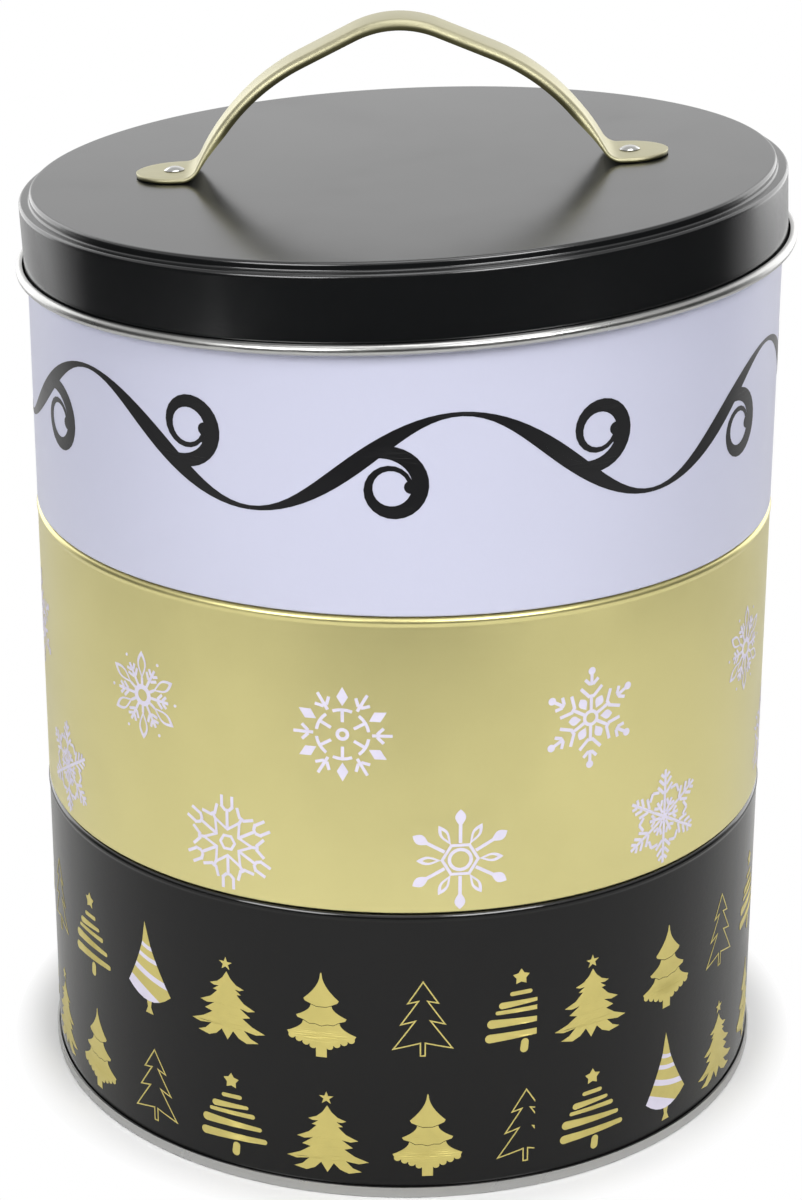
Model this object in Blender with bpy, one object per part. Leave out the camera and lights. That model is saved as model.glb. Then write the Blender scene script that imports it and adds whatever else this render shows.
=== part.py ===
"""Carry stack of three round cookie tins under one slip-on lid with a riveted strap handle.

Sizes are in metres and +Z is up. The origin is on the floor, at the middle of the bottom tin's foot.
Every tin is a rolled wall with a curled rim and a round base that is seamed on to the wall's lower end.
The two upper tins have a necked foot that plugs into the mouth of the tin below.
"""

import math

import bmesh
import bpy
from mathutils import Matrix, Vector

# Sheet metal and clearances
SHEET = 0.0005
SEAT_GAP = 0.0003
SEAM_GAP = 0.00035
PLUG_GAP = 0.0004
RIVET_GAP = 0.0002

# Tins
WALL_RADIUS = 0.1000
BOTTOM_HEIGHT = 0.0832
MIDDLE_HEIGHT = 0.0808
TOP_HEIGHT = 0.0808
RIM_CURL_RADIUS = 0.0013
RIM_CURL_START = math.radians(265)
RIM_BULGE = 0.00025
SHOULDER_RADIUS = 0.0007
NECK_RADIUS = 0.0006
NECK_DEPTH = 0.0055

# Base and its double seam
SEAM_HEIGHT = 0.0032
SEAM_RADIUS = 0.0006
BASE_SINK = 0.0030
BASE_RADIUS = 0.0009

# Lid
LID_PLAY = 0.0004
LID_DEPTH = 0.0189
LID_CURL_RADIUS = 0.00128
LID_CURL_SWEEP = math.radians(310)
LEDGE_WIDTH = 0.0029
PANEL_RISE = 0.0022
PANEL_RADIUS = 0.0009
LEDGE_RADIUS = 0.0006
CORNER_RADIUS = 0.0009
LID_LEAN = math.radians(2.84)
LEAN_AZIMUTH = math.radians(-4.0)

# Handle
STRAP_SHEET = 0.0009
STRAP_WIDTH = 0.0150
STRAP_EDGE = 0.0024
STRAP_CORNER = 0.0008
FOOT_WIDTH = 0.0215
FOOT_EDGE = 0.0010
FOOT_END = 0.0115
FLARE_LENGTH = 0.0150
HANDLE_LENGTH = 0.1404
FOOT_RUN = 0.0152
BEND_RADIUS = 0.0045
SHOULDER_SPAN = 0.0861
SHOULDER_RISE = 0.0215
BOW_RADIUS = 0.0580
PEAK_RISE = 0.0422
CREST_RADIUS = 0.0410

# Rivets
RIVET_INSET = 0.0101
RIVET_SHANK = 0.0016
RIVET_HEAD = 0.0027
RIVET_DOME = 0.0012
RIVET_TAIL = 0.0024
RIVET_TAIL_HEIGHT = 0.0009

# Facets
TURN_STEPS = 40
RIVET_STEPS = 20
CORNER_STEPS = 2
SEAM_STEPS = 1
CURL_STEPS = 7
BOW_STEPS = 9
END_STEPS = 6
END_START = 0.2
SMOOTH_ANGLE = math.radians(35)
MERGE_DISTANCE = 1e-6

# What the tins, the lid and the handle share
RIM_RADIUS = WALL_RADIUS + RIM_BULGE
RIM_MIDDLE = RIM_RADIUS - RIM_CURL_RADIUS
SEAM_PROUD = SHEET + SEAM_GAP
NECK_OUTER = RIM_RADIUS - 2 * RIM_CURL_RADIUS - PLUG_GAP - SEAM_PROUD
SKIRT_INNER = RIM_RADIUS + LID_PLAY
PANEL_TOP = SHEET + PANEL_RISE
FOOT_TOP = PANEL_TOP + SEAT_GAP + FOOT_EDGE
HANDLE_TIP = HANDLE_LENGTH / 2


def clear_scene():
    """Remove whatever the file holds."""
    for thing in list(bpy.data.objects):
        bpy.data.objects.remove(thing, do_unlink=True)


def finish(name, colour, roughness, metallic):
    """Return a plain Principled material."""
    material = bpy.data.materials.new(name)
    material.use_nodes = True
    shader = material.node_tree.nodes["Principled BSDF"]
    shader.inputs["Base Color"].default_value = (*colour, 1.0)
    shader.inputs["Roughness"].default_value = roughness
    shader.inputs["Metallic"].default_value = metallic
    return material


def arc(centre, radius, start, sweep, steps):
    """Return the points of an arc that starts at one angle and turns through another."""
    angles = [start + sweep * step / steps for step in range(steps + 1)]
    return [centre + radius * Vector((math.cos(a), math.sin(a))) for a in angles]


def rounded_path(corners, radii, steps):
    """Round the inner corners of an open path in a plane."""
    corners = [Vector(corner) for corner in corners]
    path = [corners[0]]
    for before, corner, after, radius in zip(corners, corners[1:], corners[2:], radii):
        back = (before - corner).normalized()
        onward = (after - corner).normalized()
        half = back.angle(onward) / 2
        centre = corner + (back + onward).normalized() * radius / math.sin(half)
        first = corner + back * radius / math.tan(half) - centre
        last = corner + onward * radius / math.tan(half) - centre
        start = math.atan2(first.y, first.x)
        sweep = math.remainder(math.atan2(last.y, last.x) - start, math.tau)
        path += arc(centre, radius, start, sweep, steps)
    return path + [corners[-1]]


def sheet_outline(path):
    """Give a path on a sheet's outer face the sheet's thickness, to the right of its travel."""
    inner = []
    for index, point in enumerate(path):
        before = path[max(index - 1, 0)]
        after = path[min(index + 1, len(path) - 1)]
        runs = [run.normalized() for run in (point - before, after - point) if run.length > 0]
        sides = [Vector((run.y, -run.x)) for run in runs]
        mitre = (sides[0] + sides[-1]) / (1 + sides[0].dot(sides[-1]))
        inner.append(point + SHEET * mitre)
    return path + inner[::-1]


def add_object(name, bm, material, parent):
    """Turn a finished body into a smooth-shaded object under its parent."""
    bmesh.ops.recalc_face_normals(bm, faces=bm.faces)
    mesh = bpy.data.meshes.new(name)
    bm.to_mesh(mesh)
    bm.free()
    mesh.shade_smooth()
    mesh.set_sharp_from_angle(angle=SMOOTH_ANGLE)
    mesh.materials.append(material)
    thing = bpy.data.objects.new(name, mesh)
    thing.parent = parent
    bpy.context.scene.collection.objects.link(thing)
    return thing


def add_frame(name, parent=None, matrix=Matrix()):
    """Add the empty that carries one moving group."""
    frame = bpy.data.objects.new(name, None)
    frame.parent = parent
    frame.matrix_local = matrix
    bpy.context.scene.collection.objects.link(frame)
    return frame


def turned_body(outline, steps):
    """Turn an outline of (radius, height) points round Z."""
    bm = bmesh.new()
    points = [bm.verts.new((point.x, 0.0, point.y)) for point in outline]
    edges = [bm.edges.new(pair) for pair in zip(points, points[1:])]
    if outline[0].x > SHEET:
        edges.append(bm.edges.new((points[-1], points[0])))
    bmesh.ops.spin(bm, geom=points + edges, cent=(0, 0, 0), axis=(0, 0, 1), dvec=(0, 0, 0),
                   angle=math.tau, steps=steps, use_merge=True, use_duplicate=False)
    bmesh.ops.remove_doubles(bm, verts=bm.verts, dist=MERGE_DISTANCE)
    return bm


def rim_path(rim_top):
    """Follow the rim's outer face from the curl's hidden end, over its top and down to the wall."""
    centre = Vector((RIM_MIDDLE, rim_top - RIM_CURL_RADIUS))
    leave = math.acos((WALL_RADIUS - RIM_MIDDLE) / RIM_CURL_RADIUS)
    return arc(centre, RIM_CURL_RADIUS, RIM_CURL_START, -leave - RIM_CURL_START, CURL_STEPS)


def straight_wall(rim_top):
    """Outline of a wall that runs straight into its base seam."""
    foot = Vector((WALL_RADIUS, SHEET + SEAM_GAP))
    return sheet_outline(rim_path(rim_top) + [foot])


def necked_wall(rim_top):
    """Outline of a wall with a shoulder at height 0 and a neck that plugs into the tin below."""
    rim = rim_path(rim_top)
    neck_end = SHEET + SEAM_GAP - NECK_DEPTH
    corners = [rim[-1], (WALL_RADIUS, 0.0), (NECK_OUTER, 0.0), (NECK_OUTER, neck_end)]
    return sheet_outline(rim[:-1] + rounded_path(corners, [SHOULDER_RADIUS, NECK_RADIUS], CORNER_STEPS))


def base_outline(wall_radius, foot):
    """Outline of a round base whose seam hooks round the lower end of a wall."""
    outside = wall_radius + SEAM_PROUD
    inside = wall_radius - 2 * SHEET - SEAM_GAP
    corners = [(outside, foot + SEAM_HEIGHT), (outside, foot), (inside, foot),
               (inside, foot + BASE_SINK), (0.0, foot + BASE_SINK)]
    return sheet_outline(rounded_path(corners, [SEAM_RADIUS, SEAM_RADIUS, BASE_RADIUS], SEAM_STEPS))


def add_tin(name, frame, wall, base, paint, tinplate):
    """Add a tin's wall and base."""
    add_object(f"{name}_wall", turned_body(wall, TURN_STEPS), paint, frame)
    add_object(f"{name}_base", turned_body(base, TURN_STEPS), tinplate, frame)


def lid_outline():
    """Outline of the drawn lid: panel, step, ledge, skirt and outward curl, ledge underside at height 0."""
    skirt = SKIRT_INNER + SHEET
    step = skirt - LEDGE_WIDTH
    curl_height = LID_CURL_RADIUS - LID_DEPTH
    corners = [(0.0, PANEL_TOP), (step, PANEL_TOP), (step, SHEET), (skirt, SHEET), (skirt, curl_height)]
    shell = rounded_path(corners, [PANEL_RADIUS, LEDGE_RADIUS, CORNER_RADIUS], CORNER_STEPS)
    centre = Vector((SKIRT_INNER + LID_CURL_RADIUS, curl_height))
    curl = arc(centre, LID_CURL_RADIUS - SHEET, math.pi, LID_CURL_SWEEP, CURL_STEPS)
    return sheet_outline(shell[:-1] + curl)


def lid_matrix(rim_top):
    """Seat the lid a little askew, its low side on the rim and its skirt clear of the wall all round."""
    high_side = Vector((math.cos(LEAN_AZIMUTH), math.sin(LEAN_AZIMUTH), 0.0))
    rise = math.sin(LID_LEAN)
    low_reach = LID_DEPTH - LID_CURL_RADIUS
    high_reach = 2 * RIM_MIDDLE * rise + SEAT_GAP + RIM_CURL_RADIUS
    shift = (RIM_BULGE - (low_reach + high_reach) * rise) / 2
    height = rim_top + SEAT_GAP + (RIM_MIDDLE + shift) * rise
    place = Matrix.Translation(high_side * shift + Vector((0.0, 0.0, height)))
    return place @ Matrix.Rotation(LID_LEAN, 4, high_side.cross(Vector((0.0, 0.0, 1.0))))


def hidden_drill(name, x, radius, parent):
    """Add a wire-drawn cutter that drills down through the lid panel and a handle foot."""
    bm = bmesh.new()
    reach = FOOT_TOP + RIVET_DOME
    bmesh.ops.create_cone(bm, cap_ends=True, segments=RIVET_STEPS, radius1=radius, radius2=radius,
                          depth=2 * reach, matrix=Matrix.Translation((x, 0.0, PANEL_TOP)))
    mesh = bpy.data.meshes.new(name)
    bm.to_mesh(mesh)
    bm.free()
    drill = bpy.data.objects.new(name, mesh)
    drill.parent = parent
    drill.hide_render = True
    drill.display_type = "WIRE"
    bpy.context.scene.collection.objects.link(drill)
    return drill


def drill_out(thing, drills):
    """Cut each drill out of an object."""
    for drill in drills:
        cut = thing.modifiers.new(drill.name, "BOOLEAN")
        cut.operation = "DIFFERENCE"
        cut.solver = "EXACT"
        cut.object = drill


def bow_stations():
    """Return the (x, height) points along the strap's top face, from one foot's tip to the other's."""
    right = [(SHOULDER_SPAN / 2, SHOULDER_RISE), (HANDLE_TIP - FOOT_RUN, 0.0), (HANDLE_TIP, 0.0)]
    left = [(-x, height) for x, height in reversed(right)]
    radii = [BEND_RADIUS, BOW_RADIUS, CREST_RADIUS, BOW_RADIUS, BEND_RADIUS]
    bow = rounded_path(left + [(0.0, PEAK_RISE)] + right, radii, BOW_STEPS)[1:-1]
    turns = [math.pi / 2 * (step + END_START) / END_STEPS for step in range(END_STEPS)]
    ends = [Vector((HANDLE_TIP - FOOT_END * (1 - math.cos(turn)), 0.0)) for turn in turns]
    return [Vector((-end.x, end.y)) for end in ends] + bow + ends[::-1]


def smooth_share(value):
    """Ease from 0 to 1."""
    share = min(max(value, 0.0), 1.0)
    return share * share * (3 - 2 * share)


def strap_section(from_tip):
    """Return the strap's section, across and up, at a distance along it from the nearer tip."""
    share = smooth_share((from_tip - FOOT_RUN) / FLARE_LENGTH)
    half = (FOOT_WIDTH + (STRAP_WIDTH - FOOT_WIDTH) * share) / 2
    if from_tip < FOOT_END:
        half *= math.sqrt(1 - (1 - from_tip / FOOT_END) ** 2)
    edge = FOOT_EDGE + (STRAP_EDGE - FOOT_EDGE) * share
    wall = half - STRAP_SHEET
    corner = arc(Vector((half - STRAP_CORNER, -STRAP_CORNER)), STRAP_CORNER, 0.0, math.pi / 2, CORNER_STEPS)
    right = [Vector((wall, -STRAP_SHEET)), Vector((wall, -edge)), Vector((half, -edge))] + corner
    return right + [Vector((-point.x, point.y)) for point in reversed(right)]


def strap_body():
    """Sweep the strap's section along the bow."""
    stations = bow_stations()
    travelled = [0.0]
    for before, after in zip(stations, stations[1:]):
        travelled.append(travelled[-1] + (after - before).length)
    end_inset = HANDLE_TIP - stations[-1].x
    bm = bmesh.new()
    rings = []
    for index, station in enumerate(stations):
        along = stations[min(index + 1, len(stations) - 1)] - stations[max(index - 1, 0)]
        up = Vector((-along.y, along.x)).normalized()
        from_tip = end_inset + min(travelled[index], travelled[-1] - travelled[index])
        ring = []
        for across, rise in strap_section(from_tip):
            place = station + up * rise
            ring.append(bm.verts.new((place.x, across, FOOT_TOP + place.y)))
        rings.append(ring)
    for ring, following in zip(rings, rings[1:]):
        for corner in range(len(ring)):
            nearer = corner - 1
            bm.faces.new((ring[nearer], ring[corner], following[corner], following[nearer]))
    bm.faces.new(rings[0])
    bm.faces.new(rings[-1][::-1])
    return bm


def rivet_outline():
    """Outline of a dome-headed rivet that is set through a foot and the lid panel."""
    head = FOOT_TOP + RIVET_GAP
    tail = PANEL_TOP - SHEET - RIVET_GAP
    dome_radius = (RIVET_HEAD ** 2 + RIVET_DOME ** 2) / (2 * RIVET_DOME)
    half = math.asin(RIVET_HEAD / dome_radius)
    centre = Vector((0.0, head + RIVET_DOME - dome_radius))
    dome = arc(centre, dome_radius, math.pi / 2, -half, CORNER_STEPS + 2)
    dome[0].x = 0.0
    shank = [(RIVET_SHANK, head), (RIVET_SHANK, tail), (RIVET_TAIL, tail),
             (RIVET_TAIL, tail - RIVET_TAIL_HEIGHT / 2), (RIVET_SHANK, tail - RIVET_TAIL_HEIGHT),
             (0.0, tail - RIVET_TAIL_HEIGHT)]
    return dome + [Vector(point) for point in shank]


def add_lid(frame, paint, brass, tinplate):
    """Add the lid's shell, its handle and the two rivets."""
    shell = add_object("lid_shell", turned_body(lid_outline(), TURN_STEPS), paint, frame)
    handle = add_object("lid_handle", strap_body(), brass, frame)
    drills = []
    rivet_x = HANDLE_TIP - RIVET_INSET
    for side, x in (("left", -rivet_x), ("right", rivet_x)):
        drills.append(hidden_drill(f"drill_{side}", x, RIVET_SHANK + RIVET_GAP, frame))
        rivet = add_object(f"rivet_{side}", turned_body(rivet_outline(), RIVET_STEPS), tinplate, frame)
        rivet.location.x = x
    drill_out(shell, drills)
    drill_out(handle, drills)


def main():
    """Build the stack from the floor up."""
    clear_scene()
    white = finish("white_print", (0.66, 0.68, 0.80), 0.30, 0.0)
    gold = finish("gold_print", (0.60, 0.52, 0.25), 0.32, 0.6)
    black = finish("black_print", (0.026, 0.026, 0.026), 0.32, 0.0)
    lid_black = finish("lid_black", (0.010, 0.011, 0.012), 0.28, 0.0)
    tinplate = finish("tinplate", (0.60, 0.60, 0.58), 0.22, 1.0)
    brass = finish("pale_brass", (0.64, 0.57, 0.36), 0.30, 1.0)

    bottom = add_frame("bottom_tin")
    middle = add_frame("middle_tin", bottom, Matrix.Translation((0, 0, BOTTOM_HEIGHT + SEAT_GAP)))
    top = add_frame("top_tin", middle, Matrix.Translation((0, 0, MIDDLE_HEIGHT + SEAT_GAP)))
    lid = add_frame("lid", top, lid_matrix(TOP_HEIGHT))

    add_tin("bottom_tin", bottom, straight_wall(BOTTOM_HEIGHT), base_outline(WALL_RADIUS, 0.0), black, tinplate)
    necked_base = base_outline(NECK_OUTER, -NECK_DEPTH)
    add_tin("middle_tin", middle, necked_wall(MIDDLE_HEIGHT), necked_base, gold, tinplate)
    add_tin("top_tin", top, necked_wall(TOP_HEIGHT), necked_base, white, tinplate)
    add_lid(lid, lid_black, brass, tinplate)


main()
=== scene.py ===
"""Looks of a carry stack of three round cookie tins under a slip-on lid with a strap handle.

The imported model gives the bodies, the joints and the places. Fine pieces built here stand for its plain
solids, wear printed enamel, bare tinplate and brass, and ride on the same bodies.
Sizes are in metres and +Z is up. The front faces -Y, and an azimuth is counted from there towards +X.
"""

import logging
import math
from collections.abc import Callable, Iterable, Sequence
from dataclasses import dataclass, field
from enum import Enum
from itertools import pairwise

import bmesh
import bpy
from mathutils import Matrix, Vector
from mathutils.geometry import tessellate_polygon


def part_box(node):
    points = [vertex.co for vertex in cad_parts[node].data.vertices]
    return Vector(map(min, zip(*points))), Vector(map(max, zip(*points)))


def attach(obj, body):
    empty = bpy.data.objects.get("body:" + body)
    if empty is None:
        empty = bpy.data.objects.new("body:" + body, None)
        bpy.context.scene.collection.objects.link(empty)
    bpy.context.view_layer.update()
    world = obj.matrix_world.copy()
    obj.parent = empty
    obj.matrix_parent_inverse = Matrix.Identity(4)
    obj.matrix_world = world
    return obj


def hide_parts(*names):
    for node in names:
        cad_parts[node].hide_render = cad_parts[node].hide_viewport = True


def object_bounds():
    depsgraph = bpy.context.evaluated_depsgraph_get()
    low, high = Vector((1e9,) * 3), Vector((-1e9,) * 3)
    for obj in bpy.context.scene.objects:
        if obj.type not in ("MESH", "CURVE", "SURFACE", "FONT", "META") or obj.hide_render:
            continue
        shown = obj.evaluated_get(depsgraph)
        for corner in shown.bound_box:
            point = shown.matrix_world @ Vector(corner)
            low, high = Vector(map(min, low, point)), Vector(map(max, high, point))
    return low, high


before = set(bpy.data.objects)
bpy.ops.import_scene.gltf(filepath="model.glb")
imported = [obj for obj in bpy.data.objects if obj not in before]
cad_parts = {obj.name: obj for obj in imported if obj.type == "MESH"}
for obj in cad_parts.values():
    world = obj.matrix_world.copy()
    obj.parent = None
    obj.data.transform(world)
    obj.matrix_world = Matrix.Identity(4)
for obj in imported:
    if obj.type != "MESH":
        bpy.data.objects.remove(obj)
CAD_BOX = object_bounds()

LOG = logging.getLogger("cookie_tin")
MM = 0.001
ON_AXIS = 0.000001
QUARTER = math.pi / 2
SHARP_ANGLE = math.radians(38)
# Mesh attribute for edge wear and coat on the tins, and for painted shade on the strap's edges.
EDGE_ATTRIBUTE = "edge"
STRAP_UV = "strap"
LONG_RUN = 0.004
BRACE = 0.0004
SIDES = (-1, 1)

Colour = tuple[float, float, float]
Loop = list[Vector]
Point = Sequence[float]
Spot = tuple[float, float]
Mesh = bpy.types.Mesh
NodeTree = bpy.types.NodeTree
Socket = bpy.types.NodeSocket
Inputs = dict[str | int, object]
Outputs = bpy.types.NodeOutputs


# Plane geometry


def heading(angle: float, length: float = 1.0) -> Vector:
    """Return a vector of some length at an angle."""
    return length * Vector((math.cos(angle), math.sin(angle)))


def arc(centre: Vector, radius: float, start: float, sweep: float, steps: int) -> Loop:
    """Return the points of an arc.

    Args:
        centre: Middle of the arc.
        radius: Its radius.
        start: Angle of the first point.
        sweep: Angle turned through, negative for clockwise.
        steps: Number of straight runs.

    Returns:
        The points in order.
    """
    return [centre + heading(start + sweep * step / steps, radius) for step in range(steps + 1)]


def flipped(points: Sequence[Vector]) -> Loop:
    """Return points mirrored across the Y axis, last one first."""
    return [Vector((-point.x, point.y)) for point in reversed(points)]


def rounded_path(corners: Sequence[Point], radii: Sequence[float], steps: int) -> Loop:
    """Round the inner corners of an open path in a plane.

    Args:
        corners: Points of the path, first and last kept as they are.
        radii: One radius for each inner corner.
        steps: Straight runs in each rounding.

    Returns:
        The rounded path.
    """
    points = [Vector(corner) for corner in corners]
    path = [points[0]]
    for before, corner, after, radius in zip(points, points[1:], points[2:], radii):
        back = (before - corner).normalized()
        onward = (after - corner).normalized()
        half = back.angle(onward) / 2
        centre = corner + (back + onward).normalized() * radius / math.sin(half)
        first = corner + back * radius / math.tan(half) - centre
        last = corner + onward * radius / math.tan(half) - centre
        start = math.atan2(first.y, first.x)
        sweep = math.remainder(math.atan2(last.y, last.x) - start, math.tau)
        path += arc(centre, radius, start, sweep, steps)
    return path + [points[-1]]


def offset_path(path: Loop, distance: float, closed: bool = False) -> Loop:
    """Offset a path to the right of its travel with mitred corners.

    Args:
        path: Points of the path.
        distance: How far it moves.
        closed: Whether the last point joins the first.

    Returns:
        One new point for each old one.
    """
    moved = []
    last = len(path) - 1
    for index, point in enumerate(path):
        before = path[index - 1] if index or closed else point
        after = path[(index + 1) % len(path)] if index < last or closed else point
        runs = [run.normalized() for run in (point - before, after - point) if run.length > 0]
        sides = [Vector((run.y, -run.x)) for run in runs]
        mitre = (sides[0] + sides[-1]) / (1 + sides[0].dot(sides[-1]))
        moved.append(point + distance * mitre)
    return moved


def braced(path: Loop) -> Loop:
    """Hold long straight runs near their ends, so that smooth shading bends only at the corners.

    Args:
        path: Points of the path.

    Returns:
        The path with two more points on every long run.
    """
    points = path[:1]
    for before, after in pairwise(path):
        run = after - before
        if run.length > LONG_RUN:
            brace = run.normalized() * BRACE
            points += [before + brace, after - brace]
        points.append(after)
    return points


def ease(value: float) -> float:
    """Ease a share from 0 to 1."""
    share = min(max(value, 0.0), 1.0)
    return share * share * (3 - 2 * share)


# Meshes and pieces


def placed(name: str, data: bpy.types.ID) -> bpy.types.Object:
    """Add an object to the scene.

    Args:
        name: Its name.
        data: Its mesh, light or camera.

    Returns:
        The object.
    """
    item = bpy.data.objects.new(name, data)
    bpy.context.scene.collection.objects.link(item)
    return item


def add_piece(name: str, mesh: Mesh, body: str, nodes: Iterable[str] = ()) -> None:
    """Put a finished mesh on its body and report it.

    Args:
        name: Name of the piece.
        mesh: Its mesh, already in place.
        body: CAD body that it rides on.
        nodes: CAD nodes that it stands for.
    """
    mesh.name = name
    piece = placed(name, mesh)
    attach(piece, body)
    if nodes:
        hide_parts(*nodes)
    LOG.info("%s rides on %s with %d faces", name, body, len(mesh.polygons))


def turned_mesh(outline: Loop, outside: int, steps: int, edges: Sequence[float] = ()) -> Mesh:
    """Turn an outline round Z.

    Args:
        outline: (radius, height) points, the outer face first, closed on itself or ending on the axis.
        outside: Number of points on the outer face, which takes the first material.
            The rest takes the second.
        steps: Facets in a full turn.
        edges: Share of edge wear at the first points of the outline.

    Returns:
        A closed mesh with smooth faces and an edge wear attribute.
    """
    bm = bmesh.new()
    wear = bm.verts.layers.float.new(EDGE_ATTRIBUTE)
    rings = []
    for index, point in enumerate(outline):
        count = steps if point.x > ON_AXIS else 1
        turns = [math.tau * step / count for step in range(count)]
        ring = [bm.verts.new((point.x * math.sin(t), -point.x * math.cos(t), point.y)) for t in turns]
        for vert in ring:
            vert[wear] = edges[index] if index < len(edges) else 0.0
        rings.append(ring)
    pairs = list(pairwise(rings))
    if len(rings[0]) > 1:
        pairs.append((rings[-1], rings[0]))
    for index, (ring, following) in enumerate(pairs):
        for step in range(steps if len(ring) + len(following) > 2 else 0):
            corners = [ring[step % len(ring)], ring[(step + 1) % len(ring)],
                       following[(step + 1) % len(following)], following[step % len(following)]]
            face = bm.faces.new(list(dict.fromkeys(corners)))
            face.material_index = 0 if index < outside - 1 else 1
    return finished_mesh(bm)


def finished_mesh(bm: bmesh.types.BMesh) -> Mesh:
    """Turn a closed body's faces outwards and end its editing.

    Args:
        bm: The body.

    Returns:
        A smooth mesh with sharp creases.
    """
    bmesh.ops.recalc_face_normals(bm, faces=bm.faces)
    mesh = plain_mesh(bm)
    mesh.shade_smooth()
    mesh.set_sharp_from_angle(angle=SHARP_ANGLE)
    return mesh


def plain_mesh(bm: bmesh.types.BMesh) -> Mesh:
    """End the editing of a body.

    Args:
        bm: The body.

    Returns:
        Its mesh.
    """
    mesh = bpy.data.meshes.new("piece")
    bm.to_mesh(mesh)
    bm.free()
    return mesh


def joined(films: Sequence[Mesh]) -> Mesh:
    """Join flat films of one ink.

    Args:
        films: The films.

    Returns:
        One mesh with their ink.
    """
    bm = bmesh.new()
    for film in films:
        bm.from_mesh(film)
    whole = plain_mesh(bm)
    whole.materials.append(films[0].materials[0])
    whole.shade_flat()
    return whole


# Node trees


class NodeSheet:
    """Short hand for placing and joining the nodes of one tree."""

    MIX_SHARE, MIX_FIRST, MIX_SECOND, MIX_RESULT = 0, 6, 7, 2

    def __init__(self, tree: NodeTree) -> None:
        """Work on a tree."""
        self.tree = tree

    def wire(self, node: bpy.types.Node, inputs: Inputs) -> None:
        """Set the inputs of a node.

        Args:
            node: The node.
            inputs: Value or feeding output for each input, by name or number.
        """
        for key, value in inputs.items():
            if isinstance(value, Socket):
                self.tree.links.new(value, node.inputs[key])
            else:
                node.inputs[key].default_value = value

    def add(self, kind: str, inputs: Inputs | None = None, **settings: object) -> bpy.types.Node:
        """Add a node.

        Args:
            kind: Blender's type name.
            inputs: Value or feeding output for each input, by name or number.
            settings: Properties of the node.

        Returns:
            The node.
        """
        node = self.tree.nodes.new(kind)
        for name, value in settings.items():
            setattr(node, name, value)
        self.wire(node, inputs or {})
        return node

    def out(self, kind: str, inputs: Inputs | None = None, **settings: object) -> Socket:
        """Add a node and return its first output."""
        return self.add(kind, inputs, **settings).outputs[0]

    def math(self, operation: str, *values: object) -> Socket:
        """Add a Math node and return its output."""
        return self.out("ShaderNodeMath", dict(enumerate(values)), operation=operation)

    def vector(self, **axes: object) -> Socket:
        """Add a vector with some of its axes set and return it."""
        return self.out("ShaderNodeCombineXYZ", axes)

    def axes(self, vector: Socket) -> Outputs:
        """Take a vector apart and return its axes."""
        return self.add("ShaderNodeSeparateXYZ", {0: vector}).outputs

    def spread(self, value: Socket, low: float, high: float, start: float = 0.0, end: float = 1.0) -> Socket:
        """Map a value from one range to another.

        Args:
            value: The output to map.
            low: Result at the start.
            high: Result at the end.
            start: Value that gives low.
            end: Value that gives high.

        Returns:
            The mapped output.
        """
        inputs = {"Value": value, "From Min": start, "From Max": end, "To Min": low, "To Max": high}
        return self.out("ShaderNodeMapRange", inputs)

    def blend(self, share: Socket, first: Socket | Colour, second: Socket | Colour) -> Socket:
        """Mix two colours.

        Args:
            share: Share of the second colour.
            first: Colour at 0.
            second: Colour at 1.

        Returns:
            The mixed colour.
        """
        first, second = (part if isinstance(part, Socket) else (*part, 1.0) for part in (first, second))
        inputs = {self.MIX_SHARE: share, self.MIX_FIRST: first, self.MIX_SECOND: second}
        return self.add("ShaderNodeMix", inputs, data_type="RGBA").outputs[self.MIX_RESULT]

    def place(self) -> Socket:
        """Return the place on the piece."""
        return self.add("ShaderNodeTexCoord").outputs["Object"]

    def edge(self) -> Socket:
        """Return the edge share that the mesh holds: edge wear on the tins, painted shade on the strap."""
        return self.add("ShaderNodeAttribute", attribute_name=EDGE_ATTRIBUTE).outputs["Fac"]

    def noise(self, place: Socket, scale: Socket | float, detail: float, swirl: float = 0.0) -> Socket:
        """Return noise over a place."""
        inputs = {"Vector": place, "Scale": scale, "Detail": detail, "Distortion": swirl}
        return self.out("ShaderNodeTexNoise", inputs)

    def bump(self, height: Socket, distance: float) -> Socket:
        """Return the normal of a surface with a height."""
        return self.out("ShaderNodeBump", {"Height": height, "Strength": 1.0, "Distance": distance})

    def real(self, instances: Socket) -> Socket:
        """Return instances as plain geometry."""
        return self.out("GeometryNodeRealizeInstances", {0: instances})

    def effect(self, effect: "Effect", **values: float) -> Socket:
        """Place a shared effect with a value for each of its inputs and return its output."""
        return self.out("ShaderNodeGroup", values, node_tree=effect.group())


def declare(tree: NodeTree, inputs: dict[str, str], outputs: dict[str, str]) -> tuple[NodeSheet, Outputs]:
    """Give a new node tree its named sockets.

    Args:
        tree: Tree to work on.
        inputs: Socket type for each input's name.
        outputs: Socket type for each output's name.

    Returns:
        A sheet for the tree, and the tree's inputs.
    """
    for direction, sockets in (("INPUT", inputs), ("OUTPUT", outputs)):
        for name, kind in sockets.items():
            tree.interface.new_socket(name, in_out=direction, socket_type=f"NodeSocket{kind}")
    sheet = NodeSheet(tree)
    return sheet, sheet.add("NodeGroupInput").outputs


def grown(mesh: Mesh, tree: NodeTree, values: dict[str, object], finish: "Finish") -> Mesh:
    """Run a Geometry Nodes tree on a mesh.

    Args:
        mesh: Mesh that goes in.
        tree: The tree, which sets its input named Finish on the result.
        values: Value for each of its other named inputs.
        finish: The result's finish.

    Returns:
        A plain mesh.
    """
    values = {**values, "Finish": finish.material()}
    holder = placed("holder", mesh)
    modifier = holder.modifiers.new(tree.name, "NODES")
    modifier.node_group = tree
    for item in tree.interface.items_tree:
        if item.in_out == "INPUT" and item.name in values:
            modifier[item.identifier] = values[item.name]
    depsgraph = bpy.context.evaluated_depsgraph_get()
    result = bpy.data.meshes.new_from_object(holder.evaluated_get(depsgraph), depsgraph=depsgraph)
    bpy.data.objects.remove(holder)
    result.materials.clear()
    result.materials.append(values["Finish"])
    return result


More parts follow.
